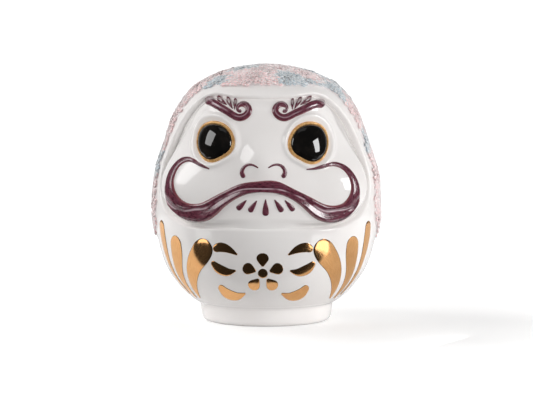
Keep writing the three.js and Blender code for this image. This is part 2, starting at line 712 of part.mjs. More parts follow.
for (const { side, sign } of EYES) {
  PETALS.forEach((petal, i) => {
    add(`petal_${side}_${i + 1}`, gildedStroke(unrolled(mirrored(petal, sign)), 10), 'gold');
  });
  LEAVES.forEach((leaf, i) => {
    add(`leaf_${side}_${i + 1}`, gildedStroke(mirrored(leaf, sign), 9), 'gold');
  });
}

range(BLOSSOM.petals).forEach((i) => add(`crest_petal_${i + 1}`, blossomPetal(i), 'gold'));
add('crest_centre', blossomCentre(), 'gold');

export default doll;
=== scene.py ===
"""Looks of a glazed porcelain daruma doll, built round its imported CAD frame.

Every surface is measured from one point inside the doll, the core, in millimetres of the doll.
A direction from the core is given by its angle from straight ahead (-Y) and its turn round that
axis. The face's left and right are the viewer's.
"""

import bpy
import numpy as np
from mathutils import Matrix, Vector


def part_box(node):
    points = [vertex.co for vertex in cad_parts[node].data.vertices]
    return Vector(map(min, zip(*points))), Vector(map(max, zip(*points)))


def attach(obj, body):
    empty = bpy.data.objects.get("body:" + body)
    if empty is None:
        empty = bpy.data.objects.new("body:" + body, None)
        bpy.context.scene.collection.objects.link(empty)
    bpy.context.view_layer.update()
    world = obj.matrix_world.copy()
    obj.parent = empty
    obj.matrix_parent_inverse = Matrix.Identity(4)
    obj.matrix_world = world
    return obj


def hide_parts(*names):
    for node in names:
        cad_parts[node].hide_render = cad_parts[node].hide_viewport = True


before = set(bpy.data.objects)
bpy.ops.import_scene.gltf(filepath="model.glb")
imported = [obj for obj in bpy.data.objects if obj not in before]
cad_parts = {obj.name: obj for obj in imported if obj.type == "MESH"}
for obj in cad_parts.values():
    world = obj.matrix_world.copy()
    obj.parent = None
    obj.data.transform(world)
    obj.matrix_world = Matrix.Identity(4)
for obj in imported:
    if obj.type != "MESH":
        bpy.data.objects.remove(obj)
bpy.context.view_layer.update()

# ---- Driving dimensions, in millimetres ----

CORE = np.array([0.0, 0.0, 95.0])
WALL = 5.0
FACE_DEPTH = 7.0  # from the bare body surface to the inside of the face
FOOT_HEIGHT = 11.2
FOOT_RADIUS = 41.6
FOOT_INNER_RADIUS = 34.4
BASE_UNDERSIDE = 5.0
BASE_THICKNESS = 3.5
VENT_RADIUS = 3.5

# The foot's faces from the top of the inside round to the outside: [inset, height].
FOOT_INSIDE = [[0, FOOT_HEIGHT], [0, 6], [0.2, 2], [0.5, 0.7], [1.2, 0.1], [2, 0]]
FOOT_OUTSIDE = [
    [4.4, 0], [3.6, 0.12], [2.9, 0.45], [2.3, 1], [1.8, 1.8], [1.4, 2.8], [1.1, 4.2], [0.8, 6.2],
    [0.55, 8],
]

# The doll's millimetre and its axis, taken from the foot ring in the frame.
foot_low, foot_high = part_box("foot_ring")
MM = (foot_high.x - foot_low.x) / (2 * FOOT_RADIUS)
AXIS = np.array([(foot_low.x + foot_high.x) / 2, (foot_low.y + foot_high.y) / 2, foot_low.z])

# Half section of the bare body, [radius, height], from the crown down past the foot.
BODY_SECTION = [
    [0, 158], [14, 156.8], [28, 153.2], [38.6, 148.6], [45, 144.4], [49.2, 139.8], [53.6, 133.4],
    [58.2, 123.8], [62.4, 111.8], [66.2, 100], [68.9, 88], [70, 74], [69.4, 59], [66.9, 46.5],
    [62.3, 33], [56.8, 24.6], [49.6, 16.8], [42, FOOT_HEIGHT], [22, 5], [0, 4],
]
# Lip of the face opening, [degrees round from the front, height], from the brim to the lower lip.
LIP = [
    [0, 141.4], [13, 141.6], [26, 142.2], [42, 143], [51, 140.4], [57.5, 134.6], [63, 126],
    [66.8, 116], [69.2, 105], [70.3, 95], [69.3, 86], [65.8, 77], [60, 70.5], [51, 65.6], [41, 63],
    [33, 62.5], [24, 62.8], [12, 63.3], [0, 63.5],
]
# Edge of the flowered mantle, given the same way, from over the brim to the middle of the back.
MANTLE_EDGE = [
    [0, 147.8], [17, 147.7], [34, 147.4], [58, 145], [66.5, 138], [71, 130], [74, 120],
    [76.3, 108], [77.2, 96], [75.8, 86], [74, 77], [74.5, 68], [78.5, 60], [90, 53.5], [115, 44],
    [150, 34], [180, 31],
]
LIP_ROUNDING = 1.5
LIP_DEPTH = 6.0

# The groove inside the lip: its depth at the brim, the chin and the sides, and where it starts
# as a share of the way from the face's middle to the lip.
BRIM_GROOVE_DEPTH = 1.7
CHIN_GROOVE_DEPTH = 0.5
SIDE_GROOVE_DEPTH = 4.2
GROOVE_START = 0.8

# Shade painted into the colour of the side groove. Its edge is given as a share of the way to the lip,
# and the pairs are where it begins and is full: along cos(turn) for a side, sin(turn) for a temple.
GROOVE_SHADE_START = 0.885
GROOVE_SHADE_EDGE = 0.03
GROOVE_SHADE_SIDE = (0.5, 0.75)
# The painted shade is weaker on the left, where more light falls.
GROOVE_SHADE_LEFT = 0.5
GROOVE_SHADE_FADE = (0.93, 1)
TEMPLE_START = (-0.2, 0.25)
TEMPLE_END = (0.5, 0.75)
TEMPLE_WIDENING = 0.08

# Soft swellings of the face, mirrored left to right: nose, bridge, cheeks and brow ridges, as
# [across, height, half width, half height, rise].
SWELLINGS = [
    [0, 99, 13, 13, 2.4], [0, 107, 10, 10, 3.4], [54, 87, 16, 18, 6.6], [28, 138, 18, 9.5, 3.8],
]
EYELID_RISE = 1.7
EYELID_RADIUS = 1.14
EYELID_WIDTH = 0.13

# Outline of an eye rim about its centre, [towards the temple, up].
EYE_OUTLINE = [
    [0, 12.9], [8, 10.4], [12.2, 2], [10.8, -7.6], [4.6, -12.6], [-4.4, -10.2], [-11.2, -4.6],
    [-11.4, 4.4], [-7.2, 10.2],
]
# The two eyes also stand for the two sides wherever a piece is mirrored.
EYES = [
    {"side": "left", "sign": -1, "x": -28.7, "z": 114.9, "size": 0.96},
    {"side": "right", "sign": 1, "x": 27, "z": 114.4, "size": 0.99},
]
RIM_INNER = 0.86  # share of the outline where the black starts
RIM_DROP = 0.5  # the opening sits this much lower, so that the rim is wider above
RIM_LIFT = 0.2
RIM_HEIGHT = 1.7
EYE_HEIGHT = 5.0
EYE_EDGE = 0.6
EYE_ROOT = 1.0

# Strokes are [across, height, half width] along their middle line.
MOUSTACHE = [
    [-32.4, 98.8, 0.35], [-36, 100.2, 0.9], [-40, 102, 1.2], [-45, 103.8, 1.4], [-49, 103, 1.6],
    [-52.8, 100, 1.7], [-55.9, 94.6, 2.1], [-57, 88.7, 2.6], [-56, 82.4, 3.5], [-51.8, 76.4, 4.2],
    [-44, 72.4, 5.3], [-35.8, 72.9, 5.7], [-27.8, 78.1, 4.7], [-20.8, 82.8, 3.8], [-12, 87.2, 3.6],
    [-2, 89, 3.5], [7.3, 88.8, 3.8], [14.5, 86.2, 3.2], [21.8, 82.3, 3.3], [28.4, 77.8, 4.2],
    [35.4, 73, 5.2], [43.8, 71.8, 5.1], [50.8, 75.2, 4], [54.4, 80.8, 3.1], [55.4, 87.2, 2.4],
    [53.8, 92.8, 1.8], [50.4, 97.6, 1.5], [45.6, 100.7, 1.3], [41, 101.4, 1.3], [35, 100.1, 1.1],
    [30.5, 99.3, 0.7], [26.2, 99, 0.35],
]
MOUSTACHE_RISE = 2.6
# Where the crease between the moustache's two strands runs: [share of the length, place across
# from -1 (outside) to 1]. The second strand comes out from under the loop at each lower corner.
MOUSTACHE_CREASE = [
    [0, -1.0], [0.17, -1.0], [0.215, -0.75], [0.25, -0.1], [0.28, 0.4], [0.32, 0.3], [0.37, 0.2],
    [0.43, 0.05], [0.475, -0.2], [0.51, -0.33], [0.545, -0.2], [0.59, 0.05], [0.65, 0.2],
    [0.7, 0.3], [0.735, 0.4], [0.765, -0.1], [0.79, -0.75], [0.83, -1.0], [1, -1.0],
]
MOUSTACHE_CREASE_DEPTH = 0.75
STRAND_PEAK = 0.3
CREASE_WIDTH = 0.09

# The sharp ridge along a stroke, which also carries a painted highlight: its width across, and its rise
# as a share of the stroke's.
RIDGE_WIDTH = 0.08
RIDGE_RISE = 0.12

# An eyebrow is its side's bar followed by a scroll, both given for the right side.
BROW_BARS = {
    "left": [[35.6, 139, 2.1], [31.6, 138.3, 2.3], [27, 136.2, 2.3], [22, 133.6, 2.3]],
    "right": [[37.6, 136.4, 1.9], [33.6, 137.2, 2.3], [28.4, 135.9, 2.4], [23, 133.5, 2.3]],
}
BROW_SCROLL = [
    [18.5, 131.5, 2.2], [14, 129.6, 2.2], [9.8, 130.9, 2.1], [8, 134.1, 2], [9.8, 136.9, 1.7],
    [13, 137.2, 1.35], [14.9, 135.3, 1], [14.2, 133.4, 0.8], [12.4, 133.7, 1.5],
]
BROW_SHIFT = -0.8
BROW_RISE = 1.9
# Loops over a brow: the centre of the round head, the length, the width and the lean in degrees.
BROW_CURLS = [
    {"x": 27.5, "z": 140.3, "length": 5.7, "width": 2.5, "lean": -58},
    {"x": 21.8, "z": 139.8, "length": 5.4, "width": 2.5, "lean": -32},
    {"x": 17.3, "z": 139.2, "length": 4.4, "width": 2.1, "lean": 2},
]
CURL_LINE = 0.42
CURL_RISE = 0.6
DROP_HEAD = 0.6  # share of half the length from a loop's middle up to its round head

NOSTRIL = [
    [3, 100.5, 0.35], [5.7, 101.9, 0.6], [8.7, 102.2, 0.75], [11.9, 100.2, 0.95],
    [12.9, 97.4, 1.25], [11.6, 94.2, 1.6],
]
NOSTRIL_SHIFT = 0.5
NOSTRIL_RISE = 1.0

# Drops under the moustache: [top, bottom, half width].
CHIN_DROPS = [
    [[-9.6, 80.8], [-15.3, 75.1], 1.9], [[-3.4, 80.7], [-7.9, 73.8], 1.9],
    [[1.9, 81.6], [1.9, 71.5], 2.2], [[7.2, 81.3], [12, 73.9], 1.9],
    [[13.4, 80.8], [18.9, 74.4], 1.8],
]
CHIN_DROP_RISE = 0.8

# Gilded teardrops of the belly: [degrees round from the front, height, half width], tail to head.
PETALS = [
    [
        [54, 16.5, 0.5], [49.5, 24, 2.8], [44.5, 33, 5.1], [38.8, 42, 6.8], [33, 49.5, 7.3],
        [30.5, 56.4, 5.8],
    ],
    [[60.5, 16, 0.5], [59, 25, 2.6], [56.5, 34, 4.4], [53.8, 45, 6.1], [52, 56.6, 5.4]],
    [[66, 18, 0.5], [66.5, 29, 1.9], [66.6, 42, 3.1], [66.2, 54, 4.2], [65.6, 64.6, 3.6]],
]
GILDING_RISE = 0.35
GILDING_EDGE = 0.06
GILDING_ROOT = 0.2
BLOSSOM = {"z": 36, "radius": 4.4, "length": 8.4, "half_width": 4.2, "petals": 5, "centre": 3}
# Leaves beside the blossom: [round the surface, height, half width].
LEAVES = [
    [[15.5, 47.5, 0.5], [21, 50.6, 2.3], [27.5, 51.6, 2.9], [31, 49.6, 1.8]],
    [[16.5, 37.5, 0.5], [22, 36.4, 2.6], [28, 38.4, 3], [32.5, 42.4, 1.4]],
    [[11, 22.6, 0.5], [16.5, 20.4, 2.8], [23, 22, 3.4], [28, 27.2, 1.8]],
]

# Flowers of the mantle seen from the front: [degrees round, height, radius, tint].
FLOWERS = [
    [-12, 152.5, 19, "pink"], [26, 152, 10.5, "blue"], [62, 154, 12, "pink"], [46, 149, 5, "blue"],
    [66, 142.5, 9, "blue"], [83, 129, 13, "pink"], [79, 112.5, 8, "blue"], [87, 91, 17, "pink"],
    [83, 64, 11, "pink"], [-78, 146, 10, "pink"], [-49, 149.5, 7, "blue"], [-62, 156.5, 9, "blue"],
    [-88, 124, 15, "pink"], [-92, 97, 13, "blue"], [-90, 72, 17, "pink"], [176, 156.5, 15, "pink"],
]
TINTS = {"pink": [0.76, 0.47, 0.47], "blue": [0.33, 0.42, 0.48]}
BLUE_SHARE = 0.4
FILLING_TRIES = 3000
FILLING_RADII = (8, 18)
FILLING_OVERLAP = 0.78
BODY_RADIUS = 70.0
PETAL_SPACING = 2.7
PETAL_LENGTH = 5.0
PETAL_WIDTH = 2.7
PETAL_RISE = 0.95
PETAL_TWIST = 0.16
MANTLE_LIFT = 0.45
GROUND_LIFT = 0.62
GROUND_ROOT = 0.6
FLOWER_HUMP = 0.7

# ---- Curves and surfaces ----


def smooth_through(knots):
    """A function through [x, y] knots with smooth slope and bend, level at both ends."""
    x, y = np.array(knots, float).T
    width = np.diff(x)
    rise = np.diff(y) / width
    count = len(x)
    system = np.eye(count)
    target = np.zeros(count)
    for i in range(1, count - 1):
        system[i, i - 1:i + 2] = width[i], 2 * (width[i - 1] + width[i]), width[i - 1]
        target[i] = 3 * (width[i] * rise[i - 1] + width[i - 1] * rise[i])
    slope = np.linalg.solve(system, target)

    def value(at):
        i = np.clip(np.searchsorted(x, at, side="right") - 1, 0, count - 2)
        t = np.clip((at - x[i]) / width[i], 0, 1)
        steady = y[i] * (1 + 2 * t) * (1 - t) ** 2 + y[i + 1] * (3 - 2 * t) * t ** 2
        return steady + width[i] * (slope[i] * t * (1 - t) ** 2 + slope[i + 1] * (t - 1) * t ** 2)

    return value


def smooth_step(low, high, x):
    t = np.clip((x - low) / (high - low), 0, 1)
    return t * t * (3 - 2 * t)


def unit(vectors):
    return vectors / np.linalg.norm(vectors, axis=-1, keepdims=True)


def points(x, y, z):
    return np.stack(np.broadcast_arrays(x, y, z), axis=-1).astype(float)


def full_turn(count):
    """`count` even steps round a full turn."""
    return np.arange(count) / count * 2 * np.pi


# The body's section as reach over angle from straight up, and a fine table of its heights.
section_reach = smooth_through(
    [[np.arctan2(r, z - CORE[2]), np.hypot(r, z - CORE[2])] for r, z in BODY_SECTION]
)
fine_angles = np.linspace(0, np.pi, 2000)
fine_reach = section_reach(fine_angles)
fine_heights = CORE[2] + fine_reach * np.cos(fine_angles)
fine_radii = fine_reach * np.sin(fine_angles)


def body_reach(direction):
    """Distance from the core to the bare body."""
    return section_reach(np.arccos(np.clip(direction[..., 2], -1, 1)))


def body_point(direction, lift=0.0):
    """The point of the bare body in each direction, or `lift` further out."""
    return CORE + direction * (body_reach(direction) + lift)[..., None]


def body_radius(height):
    return np.interp(-np.asarray(height, float), -fine_heights, fine_radii)


def body_at(azimuth, height):
    """The point of the bare body at an azimuth in radians from the front and a height."""
    radius = body_radius(height)
    return points(radius * np.sin(azimuth), -radius * np.cos(azimuth), height)


def direction_at(ahead, turn):
    return points(np.sin(ahead) * np.cos(turn), -np.cos(ahead), np.sin(ahead) * np.sin(turn))


def angle_from_ahead(direction):
    return np.arccos(np.clip(-direction[..., 1], -1, 1))


def edge_angle(edge):
    """An edge curve on the body as a function: angle from ahead for each turn, mirrored."""
    azimuth, height = np.array(edge, float).T
    ray = unit(body_at(np.radians(azimuth), height) - CORE)
    turn = np.arctan2(ray[:, 2], np.abs(ray[:, 0]).round(9))
    along = smooth_through(np.stack([turn, angle_from_ahead(ray)], axis=-1)[::-1])
    return lambda at: along(np.arctan2(np.sin(at), np.abs(np.cos(at))))


lip_angle = edge_angle(LIP)
mantle_angle = edge_angle(MANTLE_EDGE)


def eye_outline_radius():
    """Radius of the eye outline for a bearing from 0 to a full turn."""
    x, y = np.array(EYE_OUTLINE, float).T
    polar = np.stack([np.arctan2(y, x) % (2 * np.pi), np.hypot(x, y)], axis=-1)
    polar = polar[np.argsort(polar[:, 0])]
    whole = np.array([2 * np.pi, 0])
    return smooth_through(np.vstack([polar[-3:] - whole, polar, polar[:3] + whole]))


outline_radius = eye_outline_radius()


def eye_radius(bearing):
    return outline_radius(bearing % (2 * np.pi))


def eye_share(x, z, eye):
    """How far a point lies from an eye's centre, as a share of the rim's outline."""
    across = (x - eye["x"]) * eye["sign"] / eye["size"]
    up = (z - eye["z"]) / eye["size"]
    return np.hypot(across, up) / eye_radius(np.arctan2(up, across))


def face_relief(x, z):
    """Rise of the face over the bare body, before the groove."""
    rise = 0
    for across, height, half_width, half_height, swelling in SWELLINGS:
        away = ((np.abs(x) - across) / half_width) ** 2 + ((z - height) / half_height) ** 2
        rise = rise + swelling * np.exp(-away)
    for eye in EYES:
        away = (eye_share(x, z, eye) - EYELID_RADIUS) / EYELID_WIDTH
        rise = rise + EYELID_RISE * np.exp(-away ** 2)
    return rise


def face_reach(direction):
    """Distance from the core to the face, which falls away into a groove inside the lip."""
    reach = body_reach(direction)
    turn = np.arctan2(direction[..., 2], direction[..., 0])
    fall = smooth_step(GROOVE_START, 1, angle_from_ahead(direction) / lip_angle(turn))
    middle_depth = np.where(direction[..., 2] > 0, BRIM_GROOVE_DEPTH, CHIN_GROOVE_DEPTH)
    groove = middle_depth + (SIDE_GROOVE_DEPTH - middle_depth) * np.cos(turn) ** 2
    relief = face_relief(reach * direction[..., 0], CORE[2] + reach * direction[..., 2])
    return reach + relief * (1 - fall) - groove * fall


def groove_pool(share, turn):
    """How much shade is painted into the side groove, from 0 to 1.

    It reaches further in beside the temples, and is weaker on the left, where more light falls.
    """
    height = np.sin(turn)
    temple = smooth_step(*TEMPLE_START, height) - smooth_step(*TEMPLE_END, height)
    edge = GROOVE_SHADE_START - TEMPLE_WIDENING * temple
    side = smooth_step(*GROOVE_SHADE_SIDE, np.abs(np.cos(turn))) * np.where(np.cos(turn) < 0, GROOVE_SHADE_LEFT, 1)
    fade_near_lip = 1 - 0.5 * smooth_step(*GROOVE_SHADE_FADE, share)
    return side * smooth_step(edge, edge + GROOVE_SHADE_EDGE, share) * fade_near_lip


def face_point(x, z):
    """The point of the face that is seen from the front at (x, z)."""
    up = z - CORE[2]
    ahead = np.full(np.broadcast(x, z).shape, 45.0)
    for _ in range(24):
        reach = face_reach(unit(points(x, -ahead, up)))
        ahead = np.sqrt(np.maximum(reach ** 2 - x ** 2 - up ** 2, 16))
    return points(x, -ahead, z)


def belly_point(around, z):
    """A point of the bare body; `around` is measured along the surface at its height."""
    return body_at(around / body_radius(z), z)


def raised(point_at, step=0.25):
    """`point_at` as a function that also lifts its points along the surface's normal."""

    def place(x, z, lift):
        across = point_at(x + step, z) - point_at(x - step, z)
        up = point_at(x, z + step) - point_at(x, z - step)
        return point_at(x, z) + unit(np.cross(across, up)) * np.asarray(lift)[..., None]

    return place


on_face = raised(face_point)
on_belly = raised(belly_point)


def spline_through(knots, count):
    """`count` evenly spaced points on a smooth line through the knots, ends free."""
    knots = np.array(knots, float)
    chord = np.r_[0, np.cumsum(np.linalg.norm(np.diff(knots[:, :2], axis=0), axis=1))]
    before = knots[0] * 2 - knots[1]
    after = knots[-1] * 2 - knots[-2]
    padded = np.vstack([before, knots, after])
    spots = np.r_[-chord[1], chord, chord[-1] + (chord[-1] - chord[-2])]
    columns = [smooth_through(np.stack([spots, column], axis=-1)) for column in padded.T]
    fine = np.linspace(0, chord[-1], count * 8)
    line = np.stack([column(fine) for column in columns], axis=-1)
    length = np.r_[0, np.cumsum(np.linalg.norm(np.diff(line[:, :2], axis=0), axis=1))]
    even = np.linspace(0, length[-1], count)
    return np.stack([np.interp(even, length, column) for column in line.T], axis=-1), length[-1]


# ---- Meshes ----


def make_piece(name, node, slot, vertices, faces, look=None, **attributes):
    """A smooth mesh that replaces a CAD node, from points in doll millimetres.

    `faces` holds index arrays. Its look is the slot's own unless another is named.
    """
    mesh = bpy.data.meshes.new(name)
    mesh.vertices.add(len(vertices))
    mesh.vertices.foreach_set("co", (vertices * MM + AXIS).astype(np.float32).ravel())
    loops = np.concatenate([part.ravel() for part in faces])
    sizes = np.concatenate([np.full(len(part), part.shape[1]) for part in faces])
    mesh.loops.add(len(loops))
    mesh.loops.foreach_set("vertex_index", loops.astype(np.int32))
    mesh.polygons.add(len(sizes))
    mesh.polygons.foreach_set("loop_start", np.r_[0, np.cumsum(sizes)[:-1]].astype(np.int32))
    mesh.update(calc_edges=True)
    mesh.shade_smooth()
    for key, values in attributes.items():
        kind, field = ("FLOAT", "value") if values.ndim == 1 else ("FLOAT_COLOR", "color")
        layer = mesh.attributes.new(key, kind, "POINT")
        layer.data.foreach_set(field, values.astype(np.float32).ravel())
    if mesh.validate():
        raise ValueError(f"{name} has faulty faces")
    mesh.materials.append(LOOKS[look or slot])
    piece = bpy.data.objects.new(name, mesh)
    bpy.context.scene.collection.objects.link(piece)
    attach(piece, "root")
    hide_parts(node)


def skin(rings, looped=False):
    """Faces of a closed skin over rings of equal counts, and the centres that cap its ends."""
    rows, columns = rings.shape[:2]
    index = np.arange(rows * columns).reshape(rows, columns)
    if looped:
        index = np.vstack([index, index[:1]])
    here, there = index[:-1], index[1:]
    quads = np.stack([here, np.roll(here, -1, 1), np.roll(there, -1, 1), there], axis=-1)
    faces = [quads.reshape(-1, 4)]
    vertices = rings.reshape(-1, 3)
    if not looped:
        first, last = rows * columns, rows * columns + 1
        vertices = np.vstack([vertices, rings[0].mean(0), rings[-1].mean(0)])
        faces.append(np.stack([np.roll(index[0], -1), index[0], np.full(columns, first)], axis=-1))
        faces.append(np.stack([index[-1], np.roll(index[-1], -1), np.full(columns, last)], axis=-1))
    return vertices, facing_out(vertices, faces)


def make_skin(name, node, slot, rings, looped=False, look=None, **attributes):
    """A piece that is a skin over rings. Its attributes are spread over the rings' points."""
    for key, values in attributes.items():
        values = np.broadcast_to(values, rings.shape[:2])
        caps = [] if looped else [values[0].mean(), values[-1].mean()]
        attributes[key] = np.r_[values.ravel(), caps]
    make_piece(name, node, slot, *skin(rings, looped), look=look, **attributes)


def facing_out(vertices, faces):
    """The same faces turned outward, found by the sign of the volume."""
    fans = [part[:, [0, i, i + 1]] for part in faces for i in range(1, part.shape[1] - 1)]
    a, b, c = (vertices[np.vstack(fans)] - vertices[0]).transpose(1, 0, 2)
    volume = np.sum(a * np.cross(b, c))
    return faces if volume > 0 else [part[:, ::-1] for part in faces]


def even_turns(count):
    """Turns round the forward axis that step evenly along the lip."""
    fine = np.linspace(-np.pi / 2, 1.5 * np.pi, 4000)
    rim = direction_at(lip_angle(fine), fine)
    along = np.r_[0, np.cumsum(np.linalg.norm(np.diff(rim, axis=0), axis=1))]
    return np.interp(np.arange(count) / count * along[-1], along, fine)


FACE_TURNS = 440
FACE_RINGS = 150
BACK_STEP = 6  # the unseen back takes every sixth ring


def face_glaze():
    """The face as one fine skin, tucked under the lip, with a back that stays inside the doll."""
    turn = even_turns(FACE_TURNS)
    shares = np.linspace(0.004, 1.03, FACE_RINGS)
    ahead = shares[:, None] * lip_angle(turn)
    direction = direction_at(ahead, turn)
    rings = CORE + direction * face_reach(direction)[..., None]
    back = body_point(direction[::-BACK_STEP], -FACE_DEPTH)
    # Painted shade for the side groove, handed to the glaze as an attribute.
    pool = groove_pool(shares[:, None], turn)
    make_skin("face_glaze", "face_mask", "white_glaze", np.concatenate([rings, back]),
              pool=np.concatenate([pool, pool[::-BACK_STEP]]))


def body_glaze():
    """The body from inside the rounded lip over its whole outside, flat where the foot takes over."""
    turn = even_turns(FACE_TURNS)
    lip = lip_angle(turn)
    reach = body_reach(direction_at(lip, turn))
    steps = [(lip, depth) for depth in (WALL + 2, LIP_DEPTH, LIP_DEPTH * 0.7, LIP_DEPTH * 0.4)]
    for bend in np.radians(np.linspace(0, 90, 8)):
        ahead = lip + LIP_ROUNDING * (1 - np.cos(bend)) / reach
        steps.append((ahead, LIP_ROUNDING * (1 - np.sin(bend))))
    start = lip + LIP_ROUNDING / reach
    for share in np.linspace(0, 1, 96)[1:-1] ** 1.25:
        steps.append((start + (np.pi - start) * share, 0.0))
    rings = [body_point(direction_at(ahead, turn), -depth) for ahead, depth in steps]
    rings = np.array(rings)
    rings[..., 2] = np.maximum(rings[..., 2], FOOT_HEIGHT - 1)
    make_skin("body_glaze", "body_shell", "white_glaze", rings)


def turned(profile, count):
    """Rings of a closed profile of [radius, height] turned about the doll's axis."""
    radius, height = np.array(profile, float).T
    angle = full_turn(count)
    return points(radius[:, None] * np.cos(angle), radius[:, None] * np.sin(angle), height[:, None])


def corner_curve(start, corner, end, steps):
    """Points of a curve that leaves `start` towards `corner` and ends at `end`."""
    t = np.linspace(0, 1, steps)[:, None]
    return list(start * (1 - t) ** 2 + corner * 2 * t * (1 - t) + end * t ** 2)


def rounded(corners, radius, steps=5):
    """A closed outline with its corners rounded off."""
    corners = np.array(corners, float)
    outline = []
    for before, corner, after in zip(np.roll(corners, 1, 0), corners, np.roll(corners, -1, 0)):
        room = min(np.linalg.norm(before - corner), np.linalg.norm(after - corner)) / 2
        reach = min(radius, room)
        enter = corner + unit(before - corner) * reach
        leave = corner + unit(after - corner) * reach
        outline += corner_curve(enter, corner, leave, steps)
    return outline


def foot_ring():
    """The foot: a rounded ring whose top runs out over the body's glaze in a small fillet."""
    fillet_top = FOOT_HEIGHT + 1.6
    start = np.array([FOOT_RADIUS - 0.35, FOOT_HEIGHT - 1.4])
    corner = np.array([FOOT_RADIUS + 0.1, FOOT_HEIGHT + 0.3])
    end = np.array([body_radius(fillet_top) + 0.05, fillet_top])
    profile = [[FOOT_INNER_RADIUS + inset, height] for inset, height in FOOT_INSIDE]
    profile += [[FOOT_RADIUS - inset, height] for inset, height in FOOT_OUTSIDE]
    profile += corner_curve(start, corner, end, 9)
    profile.append([body_radius(fillet_top) - 0.6, fillet_top])
    make_skin("foot_glaze", "foot_ring", "white_glaze", turned(profile, 320), looped=True)


def base_plate():
    """The plate that closes the foot, with the kiln vent through its middle."""
    outer = FOOT_INNER_RADIUS + 0.3
    top = BASE_UNDERSIDE + BASE_THICKNESS
    corners = [[VENT_RADIUS, BASE_UNDERSIDE], [outer, BASE_UNDERSIDE], [outer, top], [VENT_RADIUS, top]]
    rings = turned(rounded(corners, 0.8), 160)
    make_skin("base_underside", "base_plate", "white_glaze", rings, looped=True)


# ---- Strokes ----


def dome(t):
    """Height across a stroke, full in the middle and steep at the edges."""
    return np.sqrt(np.maximum(1 - t ** 2, 0))


def creased(t, top, crease):
    """A stroke's section split into two strands, and the ridge of light along the crease.

    The outer strand slopes down to the crease, and the inner one is round.
    """
    outer = np.clip((t + 1) / np.maximum(crease + 1, 1e-3), 0, 1)
    inner = np.clip((1 - t) / np.maximum(1 - crease, 1e-3), 0, 1)
    slope = np.where(outer < STRAND_PEAK, np.sin(np.pi / 2 * outer / STRAND_PEAK),
                     1 - 0.8 * (outer - STRAND_PEAK) / (1 - STRAND_PEAK))
    round_strand = np.sqrt(np.clip(1 - (2 * inner - 1) ** 2, 0, 1)) * np.sqrt((1 - crease) / 2)
    strand = np.where(t < crease, slope, np.maximum(round_strand, 0.2 * (1 - (1 - inner) ** 2)))
    fade = smooth_step(0.0, 0.25, 1 - np.abs(crease)) * MOUSTACHE_CREASE_DEPTH
    crest = np.exp(-((t - crease) / CREASE_WIDTH) ** 2) * (fade > 0)
    return top * (1 - fade) + strand * fade, crest


def stroke_line(path, spacing, round_start, round_end):
    """A stroke's middle line in even steps, closer together where a round end tapers off.

    Gives the distances along it, its length, its taper, its [x, z], the way ahead and half width.
    """
    _, length = spline_through(path, 40)
    count = max(int(length / spacing), 12)
    line, length = spline_through(path, count)
    start = line[0, 2] if round_start else 0
    end = line[-1, 2] if round_end else 0
    quarter = np.radians(np.linspace(8, 82, 9))
    at = np.linspace(max(start, 0.02), length - max(end, 0.02), count)
    taper = np.ones(count)
    if round_start:
        at = np.r_[start * (1 - np.cos(quarter)), at]
        taper = np.r_[np.sin(quarter), taper]
    if round_end:
        at = np.r_[at, length - end * (1 - np.cos(quarter[::-1]))]
        taper = np.r_[taper, np.sin(quarter[::-1])]
    even = np.linspace(0, length, count)
    middle = np.stack([np.interp(at, even, column) for column in line.T[:2]])
    ahead = np.stack([np.interp(at, even, np.gradient(column)) for column in line.T[:2]])
    half_width = np.interp(at, even, line[:, 2])
    return at, length, taper, middle, ahead / np.hypot(*ahead), half_width


def stroke(name, node, path, place, rise, slot="plum_glaze", spacing=0.3, round_start=False,
           round_end=False, edge=0.12, across=14, sunk=0.5, ridge=None, crease=None, flatness=0.0):
    """A raised stroke. Its look reads the distance along it, the place across it and its ridge, where a
    highlight is painted.
    """
    at, length, taper, (x, z), (ahead_x, ahead_z), half_width = stroke_line(
        path, spacing, round_start, round_end)
    t = -np.cos(np.linspace(0, np.pi, across + 1))
    top = dome(t)[None, :] * (1 - flatness * dome(t)[None, :] ** 4)
    crest = np.zeros((len(at), len(t)))
    if ridge is not None:
        crest = np.exp(-((t - ridge) / RIDGE_WIDTH) ** 2) + crest
    if crease is not None:
        top, crest = creased(t[None, :], top, crease(at / length)[:, None])
    height = taper * np.minimum(1, half_width / (1.6 * rise)) * rise
    lift = edge + height[:, None] * (top + crest * RIDGE_RISE)
    under = np.array([1.0, 0.0, -1.0])
    whole = np.r_[t, under]
    reach = (half_width * taper)[:, None] * whole
    lift = np.hstack([lift, np.full((len(at), len(under)), -sunk)])
    rings = place(x[:, None] - ahead_z[:, None] * reach, z[:, None] + ahead_x[:, None] * reach, lift)
    # The ridge attribute marks where the plum glaze paints its highlight.
    make_skin(name, node, slot, rings, along=at[:, None], across=whole,
              ridge=np.hstack([crest, np.zeros((len(at), len(under)))]))


def mirrored(path, sign, shift=0.0):
    return [[sign * x + shift, z, half_width] for x, z, half_width in path]


def unrolled(path):
    """A belly path given by azimuth, turned into distance round the surface."""
    return [[float(np.radians(azimuth) * body_radius(z)), z, half] for azimuth, z, half in path]


def moustache():
    stroke("moustache_glaze", "moustache", MOUSTACHE, on_face, MOUSTACHE_RISE, spacing=0.4,
           crease=smooth_through(MOUSTACHE_CREASE), flatness=0.15, across=34)


def brows():
    for eye in EYES:
        side = eye["side"]
        path = mirrored(BROW_BARS[side] + BROW_SCROLL, eye["sign"], BROW_SHIFT)
        stroke(f"brow_glaze_{side}", f"brow_{side}", path, on_face, BROW_RISE, round_start=True,
               round_end=True, ridge=0.1, across=18)


def curl_line(curl):
    """The middle line of a loop, round at the top and narrow below, leaning about its head."""
    angle = full_turn(56)
    narrowing = (1 + 0.55 * np.sin(angle)) / 1.55
    x = curl["width"] / 2 * np.cos(angle) * narrowing
    z = curl["length"] / 2 * (np.sin(angle) - DROP_HEAD)
    lean = np.radians(curl["lean"])
    return angle, x * np.cos(lean) - z * np.sin(lean), x * np.sin(lean) + z * np.cos(lean)


